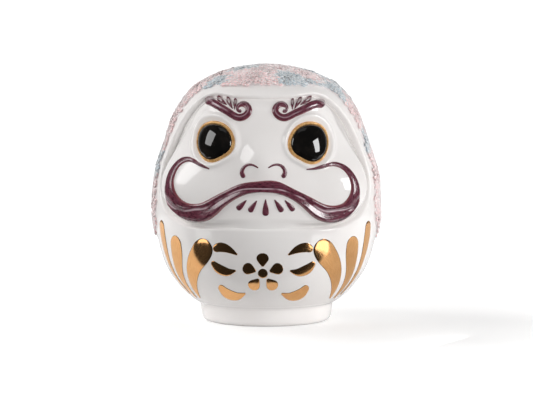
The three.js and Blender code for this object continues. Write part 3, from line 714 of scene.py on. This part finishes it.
def brow_curls():
    """Small closed loops of line over each brow."""
    turn = full_turn(12)
    scale = 1 + CURL_LINE * np.cos(turn)
    for eye in EYES:
        for number, curl in enumerate(BROW_CURLS, 1):
            angle, x, z = curl_line(curl)
            across = eye["sign"] * (curl["x"] + x[:, None] * scale)
            up = curl["z"] + z[:, None] * scale
            rings = on_face(across, up, CURL_RISE * np.sin(turn) + 0.1)
            name = f"{eye['side']}_{number}"
            make_skin(f"brow_loop_{name}", f"brow_curl_{name}", "plum_glaze", rings, looped=True,
                      along=angle[:, None] * 2, across=np.cos(turn), ridge=0.0)


def nostrils():
    for eye in EYES:
        path = mirrored(NOSTRIL, eye["sign"], NOSTRIL_SHIFT)
        stroke(f"nostril_glaze_{eye['side']}", f"nostril_{eye['side']}", path, on_face,
               NOSTRIL_RISE, round_end=True)


def chin_drops():
    for number, (top, bottom, half_width) in enumerate(CHIN_DROPS, 1):
        middle = [(top[0] + bottom[0]) / 2, (top[1] + bottom[1]) / 2, half_width * 0.75]
        path = [[*top, 0.3], middle, [*bottom, half_width]]
        stroke(f"chin_drop_glaze_{number}", f"chin_drop_{number}", path, on_face, CHIN_DROP_RISE,
               round_end=True)


def blossom_petal(number):
    """The path of one of the blossom's petals, outward from its centre."""
    bearing = np.pi / 2 + number / BLOSSOM["petals"] * 2 * np.pi
    widest = BLOSSOM["half_width"]
    path = []
    for share, half_width in ((0, 0.6), (0.45, 0.8 * widest), (1, widest)):
        distance = BLOSSOM["radius"] + share * BLOSSOM["length"]
        x, z = np.cos(bearing) * distance, BLOSSOM["z"] + np.sin(bearing) * distance
        path.append([x, z, half_width])
    return path


def gilding():
    """The gold of the belly: teardrops, leaves and the blossom's petals, nearly flat."""
    paths = {}
    for eye in EYES:
        for number, petal in enumerate(PETALS, 1):
            paths[f"petal_{eye['side']}_{number}"] = unrolled(mirrored(petal, eye["sign"]))
        for number, leaf in enumerate(LEAVES, 1):
            paths[f"leaf_{eye['side']}_{number}"] = mirrored(leaf, eye["sign"])
    for number in range(BLOSSOM["petals"]):
        paths[f"crest_petal_{number + 1}"] = blossom_petal(number)
    for node, path in paths.items():
        stroke("gilt_" + node.replace("crest", "blossom"), node, path, on_belly, GILDING_RISE,
               "gilding", spacing=0.5, round_end=True, edge=GILDING_EDGE, flatness=0.3, across=16,
               sunk=GILDING_ROOT)


def blossom_centre():
    """The round dot in the middle of the blossom."""
    bearing = full_turn(72)
    angle = np.radians(np.linspace(0, 88, 12))
    share = np.r_[1, np.cos(angle)][:, None]
    lift = np.r_[-GILDING_ROOT, GILDING_EDGE + GILDING_RISE * np.sin(angle)][:, None]
    radius = BLOSSOM["centre"] * share
    rings = on_belly(radius * np.cos(bearing), BLOSSOM["z"] + radius * np.sin(bearing), lift)
    make_skin("gilt_blossom_centre", "crest_centre", "gilding", rings, along=share * 3,
              across=share * 0.99, ridge=0.0)


# ---- Eyes ----


def eye_rings(eye, shares, drops, lifts, steps=160):
    """Rings round an eye: each one's share of the outline, drop below the centre and lift."""
    bearing = full_turn(steps)
    shares, drops, lifts = (np.reshape(values, (-1, 1)) for values in (shares, drops, lifts))
    radius = eye_radius(bearing) * eye["size"] * shares
    x = eye["x"] + eye["sign"] * radius * np.cos(bearing)
    z = eye["z"] - drops + radius * np.sin(bearing)
    return on_face(x, z, lifts)


def eyes():
    """The black domes."""
    for eye in EYES:
        angle = np.radians(np.linspace(0, 89, 40))
        shares = (RIM_INNER + 0.02) * np.r_[1, np.cos(angle)]
        lifts = np.r_[-EYE_ROOT, EYE_EDGE + (EYE_HEIGHT - EYE_EDGE) * np.sin(angle)]
        rings = eye_rings(eye, shares, RIM_DROP, lifts)
        make_skin(f"eye_glaze_{eye['side']}", f"eye_{eye['side']}", "black_glaze", rings)


def eye_rims():
    """The gold line round each eye, wider above."""
    for eye in EYES:
        turn = full_turn(20)
        outward = np.cos(turn)
        shares = (1 + RIM_INNER) / 2 + (1 - RIM_INNER) / 2 * outward
        drops = RIM_DROP * (1 - outward) / 2
        lifts = RIM_LIFT + (RIM_HEIGHT - RIM_LIFT) * np.sin(turn)
        rings = eye_rings(eye, shares, drops, lifts)
        make_skin(f"eye_line_{eye['side']}", f"eye_rim_{eye['side']}", "rim_gold", rings,
                  looped=True, across=outward[:, None])


# ---- Flowers of the mantle ----

chance = np.random.default_rng(11)


def sideways(direction):
    """Two directions square to each one: to its right and upward, turning over at the poles."""
    helper = np.where(np.abs(direction[..., 2:]) > 0.9, [[0.0, 1.0, 0.0]], [[0.0, 0.0, 1.0]])
    right = unit(np.cross(helper, direction))
    return right, np.cross(direction, right)


def body_normal(direction):
    right, up = sideways(direction)
    step = 0.01
    across = body_point(unit(direction + right * step)) - body_point(unit(direction - right * step))
    along = body_point(unit(direction + up * step)) - body_point(unit(direction - up * step))
    return unit(np.cross(across, along))


def mantle_share(direction):
    """1 at the mantle's edge and more inside it."""
    turn = np.arctan2(direction[..., 2], direction[..., 0])
    return angle_from_ahead(direction) / mantle_angle(turn)


def flower_plan():
    """Centres, radii and tints: the flowers seen from the front, then a random filling."""
    centres, radii, tints = [], [], []
    for azimuth, height, radius, tint in FLOWERS:
        centres.append(unit(body_at(np.radians(azimuth), height) - CORE))
        radii.append(radius)
        tints.append(tint)
    for _ in range(FILLING_TRIES):
        centre = unit(chance.normal(size=3))
        radius = chance.uniform(*FILLING_RADII)
        apart = np.arccos(np.clip(np.array(centres) @ centre, -1, 1)) * BODY_RADIUS
        free = np.all(apart > FILLING_OVERLAP * (np.array(radii) + radius))
        if free and mantle_share(centre) > 1 + 0.5 * radius / BODY_RADIUS:
            centres.append(centre)
            radii.append(radius)
            tints.append("blue" if chance.uniform() < BLUE_SHARE else "pink")
    return np.array(centres), np.array(radii), tints


def petal_template():
    """A cupped petal with a round tip, closed below by its root.

    Gives its points as [along 0 to 1, across -1 to 1, height], its faces above and below, and how
    near each point is to the petal's edge.
    """
    along = np.linspace(0, 1, 5)
    across = np.linspace(-1, 1, 5)
    width = np.array([0.45, 0.85, 1.0, 0.82, 0.3])
    a, b = np.meshgrid(along, across, indexing="ij")
    height = 0.35 + 0.65 * np.sin(a * 2.2) - 0.35 * (1 - b ** 2) * smooth_step(0, 0.6, a)
    top = points(a, b * width[:, None], height).reshape(-1, 3)
    root = np.array([[0.4, 0.0, -1.6]])
    index = np.arange(25).reshape(5, 5)
    quads = np.stack([index[:-1, :-1], index[:-1, 1:], index[1:, 1:], index[1:, :-1]], axis=-1)
    rim = np.r_[index[0], index[1:, 4], index[4, 3::-1], index[3:0:-1, 0]]
    under = np.stack([np.roll(rim, -1), rim, np.full(len(rim), 25)], axis=-1)
    edge = np.r_[np.maximum(np.abs(b), smooth_step(0.3, 1.0, a)).ravel(), 0]
    return np.vstack([top, root]), quads.reshape(-1, 4), under, edge


def flower_petals(centre, radius):
    """Where a flower's petals lie: their directions from the core and how far out they point."""
    right, up = sideways(centre)
    places, outward = [], []
    distance = PETAL_SPACING * 0.4
    while distance < 1.8 * radius:
        count = max(5, int(2 * np.pi * distance / (PETAL_WIDTH * 0.82)))
        bearing = (np.arange(count) + chance.uniform(0, 1)) / count * 2 * np.pi
        bearing = bearing + chance.normal(0, 0.12, count) / np.sqrt(count / 5)
        out = (distance + chance.normal(0, 0.22, count)) / BODY_RADIUS
        aside = np.cos(bearing)[:, None] * right + np.sin(bearing)[:, None] * up
        places.append(np.cos(out)[:, None] * centre + np.sin(out)[:, None] * aside)
        outward.append(np.cos(out)[:, None] * aside - np.sin(out)[:, None] * centre)
        distance += PETAL_SPACING
    return np.vstack(places), np.vstack(outward)


def own_petals(flower, centres, radii):
    """The petals of one flower that no nearer flower covers, kept inside the mantle's edge."""
    places, outward = flower_petals(centres[flower], radii[flower])
    apart = np.arccos(np.clip(places @ centres.T, -1, 1)) * BODY_RADIUS
    nearest = np.argmin(apart / radii, axis=1) == flower
    inside = mantle_share(places) > 1 + chance.normal(0.012, 0.006, len(places))
    keep = nearest & inside
    return places[keep], outward[keep], apart[keep, flower]


def laid_petals(template, places, outward, apart, radius):
    """The points of each petal, laid on the body with a twist and a size of its own."""
    count = len(places)
    normal = body_normal(places)
    twist = chance.normal(0, PETAL_TWIST, count)[:, None]
    outward = unit(outward - normal * np.einsum("ij,ij->i", outward, normal)[:, None])
    sideward = np.cross(normal, outward)
    tipward = outward * np.cos(twist) + sideward * np.sin(twist)
    aside = sideward * np.cos(twist) - outward * np.sin(twist)
    size = chance.uniform(0.8, 1.2, count)[:, None, None]
    crowding = np.clip(apart / 6, 0.55, 1)[:, None, None]
    along = (template[None, :, :1] - 0.45) * PETAL_LENGTH * size * crowding
    across = template[None, :, 1:2] * PETAL_WIDTH / 2 * size * crowding
    hump = FLOWER_HUMP * np.exp(-(apart / (0.45 * radius)) ** 2)[:, None, None]
    height = MANTLE_LIFT + hump + template[None, :, 2:] * PETAL_RISE * size
    corners = body_point(places)[:, None] + along * tipward[:, None] + across * aside[:, None]
    return corners + height * normal[:, None]


def petal_tints_and_shade(template, out, tint):
    """The colour of each petal's points: painted shade towards the root, where it tucks under its
    neighbours, and deeper away from the flower's middle.
    """
    shade = chance.normal(1, 0.09, len(out))[:, None, None]
    deep = 1 + 0.22 * np.clip(out, 0, 1)[:, None, None]
    # Painted shade: each petal darker towards its root.
    root = 0.6 + 0.4 * smooth_step(0.1, 0.75, template[None, :, :1])
    colour = np.clip(np.array(tint) * shade * deep * root, 0, 1)
    return np.concatenate([colour, np.ones((len(out), len(template), 1))], axis=-1)


def flowers():
    """One piece for each tint and side, with the petals of all its flowers."""
    centres, radii, tints = flower_plan()
    template, quads, under, edge = petal_template()
    groups = {}
    for flower, tint in enumerate(tints):
        places, outward, apart = own_petals(flower, centres, radii)
        if len(places) == 0:
            continue
        side = "left" if centres[flower][0] < 0 else "right"
        corners, shaded_colours = groups.setdefault((tint, side), ([], []))
        corners.append(laid_petals(template, places, outward, apart, radii[flower]))
        # Each petal's colours include the shade painted at its root.
        shaded_colours.append(petal_tints_and_shade(template, apart / radii[flower], TINTS[tint]))
    for (tint, side), (corners, shaded_colours) in groups.items():
        vertices = np.vstack(corners).reshape(-1, 3)
        first = np.arange(0, len(vertices), len(template))[:, None, None]
        faces = [(quads + first).reshape(-1, 4), (under + first).reshape(-1, 3)]
        make_piece(f"{tint}_flowers_{side}", "mantle", "flower_biscuit", vertices,
                   facing_out(vertices, faces), tint=np.vstack(shaded_colours).reshape(-1, 4),
                   edge=np.tile(edge, len(first)))


def mantle_ground():
    """The thin skin of biscuit that the petals stand on."""
    turn = even_turns(360)
    edge = mantle_angle(turn)
    inward = np.linspace(0.03, 0.995, 70)
    shares = np.r_[0.0, 0.004, 0.012, inward]
    lifts = np.r_[0.02, 0.3, 0.5, np.full(len(inward), GROUND_LIFT)]
    direction = direction_at(edge + (np.pi - edge) * shares[:, None], turn)
    under = body_point(direction[::-8], -GROUND_ROOT)
    rings = np.concatenate([body_point(direction, lifts[:, None]), under])
    # The ground takes the greyer biscuit, whose grey is painted shade.
    make_skin("mantle_ground", "mantle", "flower_biscuit", rings, look="shaded_ground_biscuit")


# ---- Materials ----


class Nodes:
    """A node tree and a short way to add nodes to it.

    A socket is named by keyword, with _ for a space, or by its number after an _.
    """

    def __init__(self, tree):
        self.tree = tree

    def set(self, node, **sockets):
        """Join each socket to another one or give it a value."""
        for key, value in sockets.items():
            socket = node.inputs[int(key[1:]) if key[0] == "_" else key.replace("_", " ")]
            if isinstance(value, bpy.types.NodeSocket):
                self.tree.links.new(value, socket)
            else:
                socket.default_value = value

    def add(self, kind, settings=None, **sockets):
        node = self.tree.nodes.new("ShaderNode" + kind)
        for key, value in (settings or {}).items():
            setattr(node, key, value)
        self.set(node, **sockets)
        return node

    def attribute(self, name, output="Fac"):
        return self.add("Attribute", {"attribute_name": name}).outputs[output]

    def noise(self, scale, vector=None, detail=3.0, roughness=0.5):
        """Noise of a size given as features to the metre, from 0 to 1."""
        vector = vector or self.add("TexCoord").outputs["Object"]
        return self.add("TexNoise", None, Vector=vector, Scale=scale, Detail=detail,
                        Roughness=roughness).outputs["Fac"]

    def clouds(self, low, high, *noise, **settings):
        """Noise as soft-edged clouds that start at `low` and are full at `high`."""
        return self.between(self.noise(*noise, **settings), low, high)

    def math(self, operation, a, b=0.0):
        return self.add("Math", {"operation": operation}, _0=a, _1=b).outputs[0]

    def times(self, a, b):
        return self.math("MULTIPLY", a, b)

    def between(self, value, low, high):
        """0 below `low`, 1 above `high` and smooth between them."""
        settings = {"interpolation_type": "SMOOTHSTEP"}
        return self.add("MapRange", settings, Value=value, From_Min=low, From_Max=high).outputs[0]

    def spread(self, value, low, high, start=0.0, end=1.0):
        """A value that goes from `start` to `end`, spread evenly from `low` to `high`."""
        return self.add("MapRange", None, Value=value, From_Min=start, From_Max=end, To_Min=low,
                        To_Max=high).outputs[0]

    def mix(self, share, a, b):
        """A colour between two others."""
        return self.add("Mix", {"data_type": "RGBA"}, _0=share, _6=a, _7=b).outputs[2]

    def bump(self, height, distance, strength):
        return self.add("Bump", None, Height=height, Distance=distance, Strength=strength).outputs[0]

    def stretched(self, along, across):
        """A place measured along and across a brush stroke, for noise drawn out along it."""
        return self.add("CombineXYZ", None, X=along, Y=across).outputs[0]


class Finish(Nodes):
    """A material of one shader. Its even values are given first, what varies over it last."""

    def __init__(self, name, **sockets):
        self.material = bpy.data.materials.new(name)
        self.material.use_nodes = True
        super().__init__(self.material.node_tree)
        self.shader = self.tree.nodes["Principled BSDF"]
        self.set(self.shader, **sockets)

    def finish(self, colour, roughness, relief):
        self.set(self.shader, Base_Color=colour, Roughness=roughness, Normal=relief)
        return self.material


def white_glaze():
    """White porcelain under clear glaze: a warm ground, faint clouds, a softly uneven gloss and painted
    shade in the side groove.
    """
    look = Finish("white_glaze", IOR=1.5, Coat_Weight=0.25, Coat_Roughness=0.03,
                  Specular_IOR_Level=0.5)
    cloud = look.clouds(0.35, 0.7, 28, detail=4)
    colour = look.mix(cloud, (0.795, 0.765, 0.75, 1), (0.83, 0.805, 0.79, 1))
    speck = look.clouds(0.74, 0.79, 900, detail=2)
    colour = look.mix(look.times(speck, 0.12), colour, (0.55, 0.47, 0.40, 1))
    # Painted shade: a greyer colour where the side groove lies in shade.
    pool = look.times(look.attribute("pool"), 0.7)
    colour = look.mix(pool, colour, (0.50, 0.475, 0.46, 1))
    roughness = look.spread(look.noise(120), 0.05, 0.11)
    waves = look.bump(look.noise(70, detail=1), 0.00006, 0.6)
    return look.finish(colour, roughness, waves)


def plum_glaze():
    """Plum overglaze colour put on with a brush: dark pools, redder thin edges and a highlight painted
    along the ridges.
    """
    look = Finish("plum_glaze", IOR=1.75, Coat_Weight=0.5, Coat_Roughness=0.03)
    across = look.attribute("across")
    # Where the painted highlight runs along the ridge, broken into pieces.
    broken = look.clouds(0.36, 0.56, 95, detail=2)
    ridge = look.times(look.attribute("ridge"), broken)
    brush = look.stretched(look.times(look.attribute("along"), 0.16), look.times(across, 2.2))
    streaks = look.clouds(0.34, 0.68, 2.6, brush, detail=5, roughness=0.62)
    colour = look.mix(streaks, (0.054, 0.011, 0.020, 1), (0.168, 0.039, 0.064, 1))
    side = look.between(look.math("ABSOLUTE", across), 0.72, 1.0)
    colour = look.mix(look.times(side, 0.75), colour, (0.27, 0.075, 0.085, 1))
    # Painted highlight: a pale pink line along each ridge.
    colour = look.mix(look.times(ridge, 0.9), colour, (0.72, 0.55, 0.60, 1))
    clouds = look.clouds(0.45, 0.75, 260, detail=3)
    colour = look.mix(look.times(clouds, 0.25), colour, (0.20, 0.085, 0.115, 1))
    roughness = look.spread(streaks, 0.1, 0.2)
    relief = look.bump(streaks, 0.00005, 0.5)
    return look.finish(colour, roughness, relief)


def black_glaze():
    """Deep black glaze of the eyes, with a trace of brown where it thins."""
    look = Finish("black_glaze", IOR=1.52, Coat_Weight=0.5, Coat_Roughness=0.02)
    cloud = look.clouds(0.4, 0.75, 160, detail=4)
    colour = look.mix(cloud, (0.0025, 0.0022, 0.002, 1), (0.009, 0.007, 0.006, 1))
    roughness = look.spread(cloud, 0.03, 0.06)
    waves = look.bump(look.noise(110, detail=1), 0.00003, 0.5)
    return look.finish(colour, roughness, waves)


def rim_gold():
    """The ochre gold line round each eye: brushed on, satin, browner where it is thin."""
    look = Finish("rim_gold", Metallic=0.45, IOR=1.5)
    brushed = look.clouds(0.35, 0.7, 420, detail=5, roughness=0.6)
    colour = look.mix(brushed, (0.62, 0.32, 0.11, 1), (0.97, 0.60, 0.26, 1))
    inner = look.between(look.times(look.attribute("across"), -1.0), 0.55, 1.0)
    colour = look.mix(look.times(inner, 0.5), colour, (0.25, 0.12, 0.05, 1))
    roughness = look.spread(brushed, 0.38, 0.24)
    relief = look.bump(brushed, 0.00004, 0.5)
    return look.finish(colour, roughness, relief)


def gilding_finish():
    """Bright burnished gold with a fine dark outline and faint brush marks."""
    look = Finish("bright_gold", Metallic=1.0)
    across = look.attribute("across")
    strokes = look.stretched(look.times(look.attribute("along"), 0.1), look.times(across, 3.0))
    brush = look.clouds(0.3, 0.7, 2.4, strokes, detail=4)
    colour = look.mix(brush, (0.85, 0.44, 0.175, 1), (0.94, 0.52, 0.225, 1))
    outline = look.between(look.math("ABSOLUTE", across), 0.93, 0.985)
    colour = look.mix(outline, colour, (0.22, 0.16, 0.12, 1))
    roughness = look.spread(brush, 0.1, 0.16)
    relief = look.bump(look.noise(160, detail=2), 0.00003, 0.6)
    return look.finish(colour, roughness, relief)


def flower_biscuit():
    """Matte tinted porcelain of the petals, nearly white towards their edges and tips."""
    look = Finish("flower_biscuit", IOR=1.45, Sheen_Weight=0.5, Sheen_Roughness=0.4)
    # The tint attribute also carries the shade painted at each petal's root.
    tint = look.attribute("tint", "Color")
    mottle = look.clouds(0.3, 0.72, 520, detail=4, roughness=0.6)
    pale = look.mix(0.5, tint, (0.83, 0.80, 0.79, 1))
    colour = look.mix(look.times(mottle, 0.5), tint, pale)
    pale_edge = look.between(look.attribute("edge"), 0.62, 0.98)
    pale_edge = look.times(pale_edge, look.spread(mottle, 0.6, 1.0))
    colour = look.mix(pale_edge, colour, (0.93, 0.915, 0.91, 1))
    roughness = look.spread(mottle, 0.42, 0.62)
    relief = look.bump(look.noise(1400, detail=3), 0.00004, 0.5)
    return look.finish(colour, roughness, relief)


def shaded_ground_biscuit():
    """The paler, greyer biscuit between the petals: its grey is painted shade between them."""
    look = Finish("shaded_ground_biscuit", IOR=1.45)
    mottle = look.clouds(0.3, 0.7, 180, detail=5, roughness=0.6)
    # Painted shade: the ground is greyer than the petals.
    colour = look.mix(mottle, (0.62, 0.56, 0.56, 1), (0.78, 0.74, 0.74, 1))
    relief = look.bump(look.noise(1200, detail=3), 0.00005, 0.5)
    return look.finish(colour, 0.6, relief)


# ---- Stage ----

# The lit table's front edge, ahead of the doll's axis in millimetres, and how it runs askew.
TABLE_EDGE = 71.5
TABLE_SKEW = 0.105
TABLE_BLUR = 0.0015
FLOOR_RADIUS = 0.6
FLOOR_SIDES = 96
FLOOR_RINGS = 11
# For the camera the floor glows more the further it lies from the doll, in metres.
GLOW_START = 0.13
GLOW_FULL = 0.38

IMAGE_WIDTH = 533
MM_PER_PIXEL = 0.624
CAMERA_AZIMUTH = 2.0
CAMERA_ELEVATION = 5.5
CAMERA_DISTANCE = 1800.0
CAMERA_AIM = (0, 0, 74.4)
DOLL_MIDDLE = (0, 0, 80)


def metres(point):
    return Vector(np.asarray(point, float) * MM + AXIS)


def look_at(thing, target, azimuth, elevation, distance):
    """Put a lamp or camera `distance` metres from its target and turn it to face the target."""
    a, e = np.radians([azimuth, elevation])
    away = Vector((np.sin(a) * np.cos(e), -np.cos(a) * np.cos(e), np.sin(e)))
    thing.location = metres(target) + away * distance
    thing.rotation_mode = "QUATERNION"
    thing.rotation_quaternion = (-away).to_track_quat("-Z", "Y")
    bpy.context.scene.collection.objects.link(thing)


def floor_finish():
    """A pale floor for the camera. The doll's gloss sees a lit table and a dark room beyond it."""
    look = Finish("floor", Roughness=0.6, Specular_IOR_Level=0.1)
    place = look.add("SeparateXYZ", None, Vector=look.add("TexCoord").outputs["Object"]).outputs
    seen = look.add("LightPath").outputs["Is Camera Ray"]
    edge = float(AXIS[1] - TABLE_EDGE * MM)
    skewed = look.math("ADD", place["Y"], look.times(place["X"], TABLE_SKEW))
    table = look.between(skewed, edge - TABLE_BLUR, edge + TABLE_BLUR)
    lit = look.mix(look.noise(40), (0.80, 0.80, 0.80, 1), (0.84, 0.84, 0.84, 1))
    colour = look.mix(table, (0.02, 0.02, 0.02, 1), lit)
    colour = look.mix(seen, colour, (0.71, 0.705, 0.70, 1))
    squares = [look.math("POWER", place[axis], 2.0) for axis in ("X", "Y")]
    away = look.math("SQRT", look.math("ADD", *squares))
    glow = look.spread(look.between(away, GLOW_START, GLOW_FULL), 0.37, 1.05)
    look.set(look.shader, Base_Color=colour, Emission_Color=(1, 1, 1, 1),
             Emission_Strength=look.times(glow, seen))
    return look.material


def floor():
    """A round floor that grows into the white background."""
    angle = full_turn(FLOOR_SIDES)
    radius = np.linspace(0, FLOOR_RADIUS, FLOOR_RINGS + 1)[1:, None]
    rings = points(AXIS[0] + radius * np.cos(angle), AXIS[1] + radius * np.sin(angle), AXIS[2])
    index = np.arange(FLOOR_RINGS * FLOOR_SIDES).reshape(FLOOR_RINGS, FLOOR_SIDES)
    inner, outer = index[:-1], index[1:]
    quads = np.stack([outer, np.roll(outer, -1, 1), np.roll(inner, -1, 1), inner], axis=-1)
    faces = quads.reshape(-1, 4).tolist() + [index[0].tolist()]
    mesh = bpy.data.meshes.new("floor")
    mesh.from_pydata(rings.reshape(-1, 3).tolist(), [], faces)
    mesh.materials.append(floor_finish())
    ground = bpy.data.objects.new("floor", mesh)
    bpy.context.scene.collection.objects.link(ground)


def softbox(name, azimuth, elevation, distance, size, watts, aim=DOLL_MIDDLE, glossy=True):
    """A rectangular light facing `aim`. One that isn't glossy never shows as a reflection."""
    light = bpy.data.lights.new(name, "AREA")
    light.shape = "RECTANGLE"
    light.size, light.size_y = size
    light.energy = watts
    lamp = bpy.data.objects.new(name, light)
    look_at(lamp, aim, azimuth, elevation, distance)
    lamp.visible_camera = False
    lamp.visible_glossy = glossy


def studio():
    """Softboxes at both sides and above, a soft front fill and small glints on two gold petals."""
    softbox("softbox_right", 67, 18, 1.0, (0.3, 0.4), 3.8)
    softbox("softbox_left", -69, 32, 1.0, (0.42, 0.5), 2.5)
    softbox("side_right", 116, 10, 1.2, (0.5, 0.9), 5.5, glossy=False)
    softbox("side_left", -110, 26, 1.2, (0.5, 0.9), 10, glossy=False)
    softbox("softbox_top", 0, 80, 1.2, (0.7, 0.4), 0.3)
    softbox("fill_front", 12, 0, 2.6, (1.6, 0.4), 35, glossy=False)
    softbox("glint_left", -68, -15, 0.12, (0.05, 0.026), 0.007, aim=(-34.7, -59.4, 54))
    softbox("glint_right", 62, -24, 0.1, (0.05, 0.04), 0.014, aim=(34.2, -58.3, 48.1))


def room():
    """A white background for the camera. The doll sees a room that is darker in front."""
    world = bpy.data.worlds.new("studio")
    world.use_nodes = True
    nodes = Nodes(world.node_tree)
    path = nodes.add("LightPath").outputs
    direction = nodes.add("TexCoord").outputs["Generated"]
    backward = nodes.add("SeparateXYZ", None, Vector=direction).outputs["Y"]
    light = nodes.spread(backward, 0.26, 0.9, start=0.15, end=0.6)
    gloss = nodes.spread(backward, 0.05, 0.7, start=0.4, end=0.95)
    strength = nodes.add("Mix", None, _0=path["Is Glossy Ray"], _2=light, _3=gloss).outputs[0]
    walls = nodes.add("Background", None, Strength=strength).outputs[0]
    white = nodes.add("Background", None, Color=(1, 1, 1, 1), Strength=1.2).outputs[0]
    shown = nodes.add("MixShader", None, _0=path["Is Camera Ray"], _1=walls, _2=white).outputs[0]
    nodes.set(world.node_tree.nodes["World Output"], Surface=shown)
    bpy.context.scene.world = world
    bpy.context.scene.view_settings.view_transform = "Standard"


def camera():
    """A long lens from slightly right of the front and slightly above."""
    data = bpy.data.cameras.new("camera")
    data.sensor_width = 36
    data.lens = data.sensor_width * CAMERA_DISTANCE / (IMAGE_WIDTH * MM_PER_PIXEL)
    data.clip_start, data.clip_end = 0.05, 60
    view = bpy.data.objects.new("camera", data)
    look_at(view, CAMERA_AIM, CAMERA_AZIMUTH, CAMERA_ELEVATION, CAMERA_DISTANCE * MM)
    bpy.context.scene.camera = view


# ---- Assembly ----

camera()
floor()
studio()
room()

LOOKS = {
    "white_glaze": white_glaze(),
    "plum_glaze": plum_glaze(),
    "black_glaze": black_glaze(),
    "rim_gold": rim_gold(),
    "gilding": gilding_finish(),
    "shaded_ground_biscuit": shaded_ground_biscuit(),
    "flower_biscuit": flower_biscuit(),
}
body_glaze()
face_glaze()
foot_ring()
base_plate()
moustache()
brows()
brow_curls()
nostrils()
chin_drops()
eyes()
eye_rims()
gilding()
blossom_centre()
mantle_ground()
flowers()

bpy.context.view_layer.update()
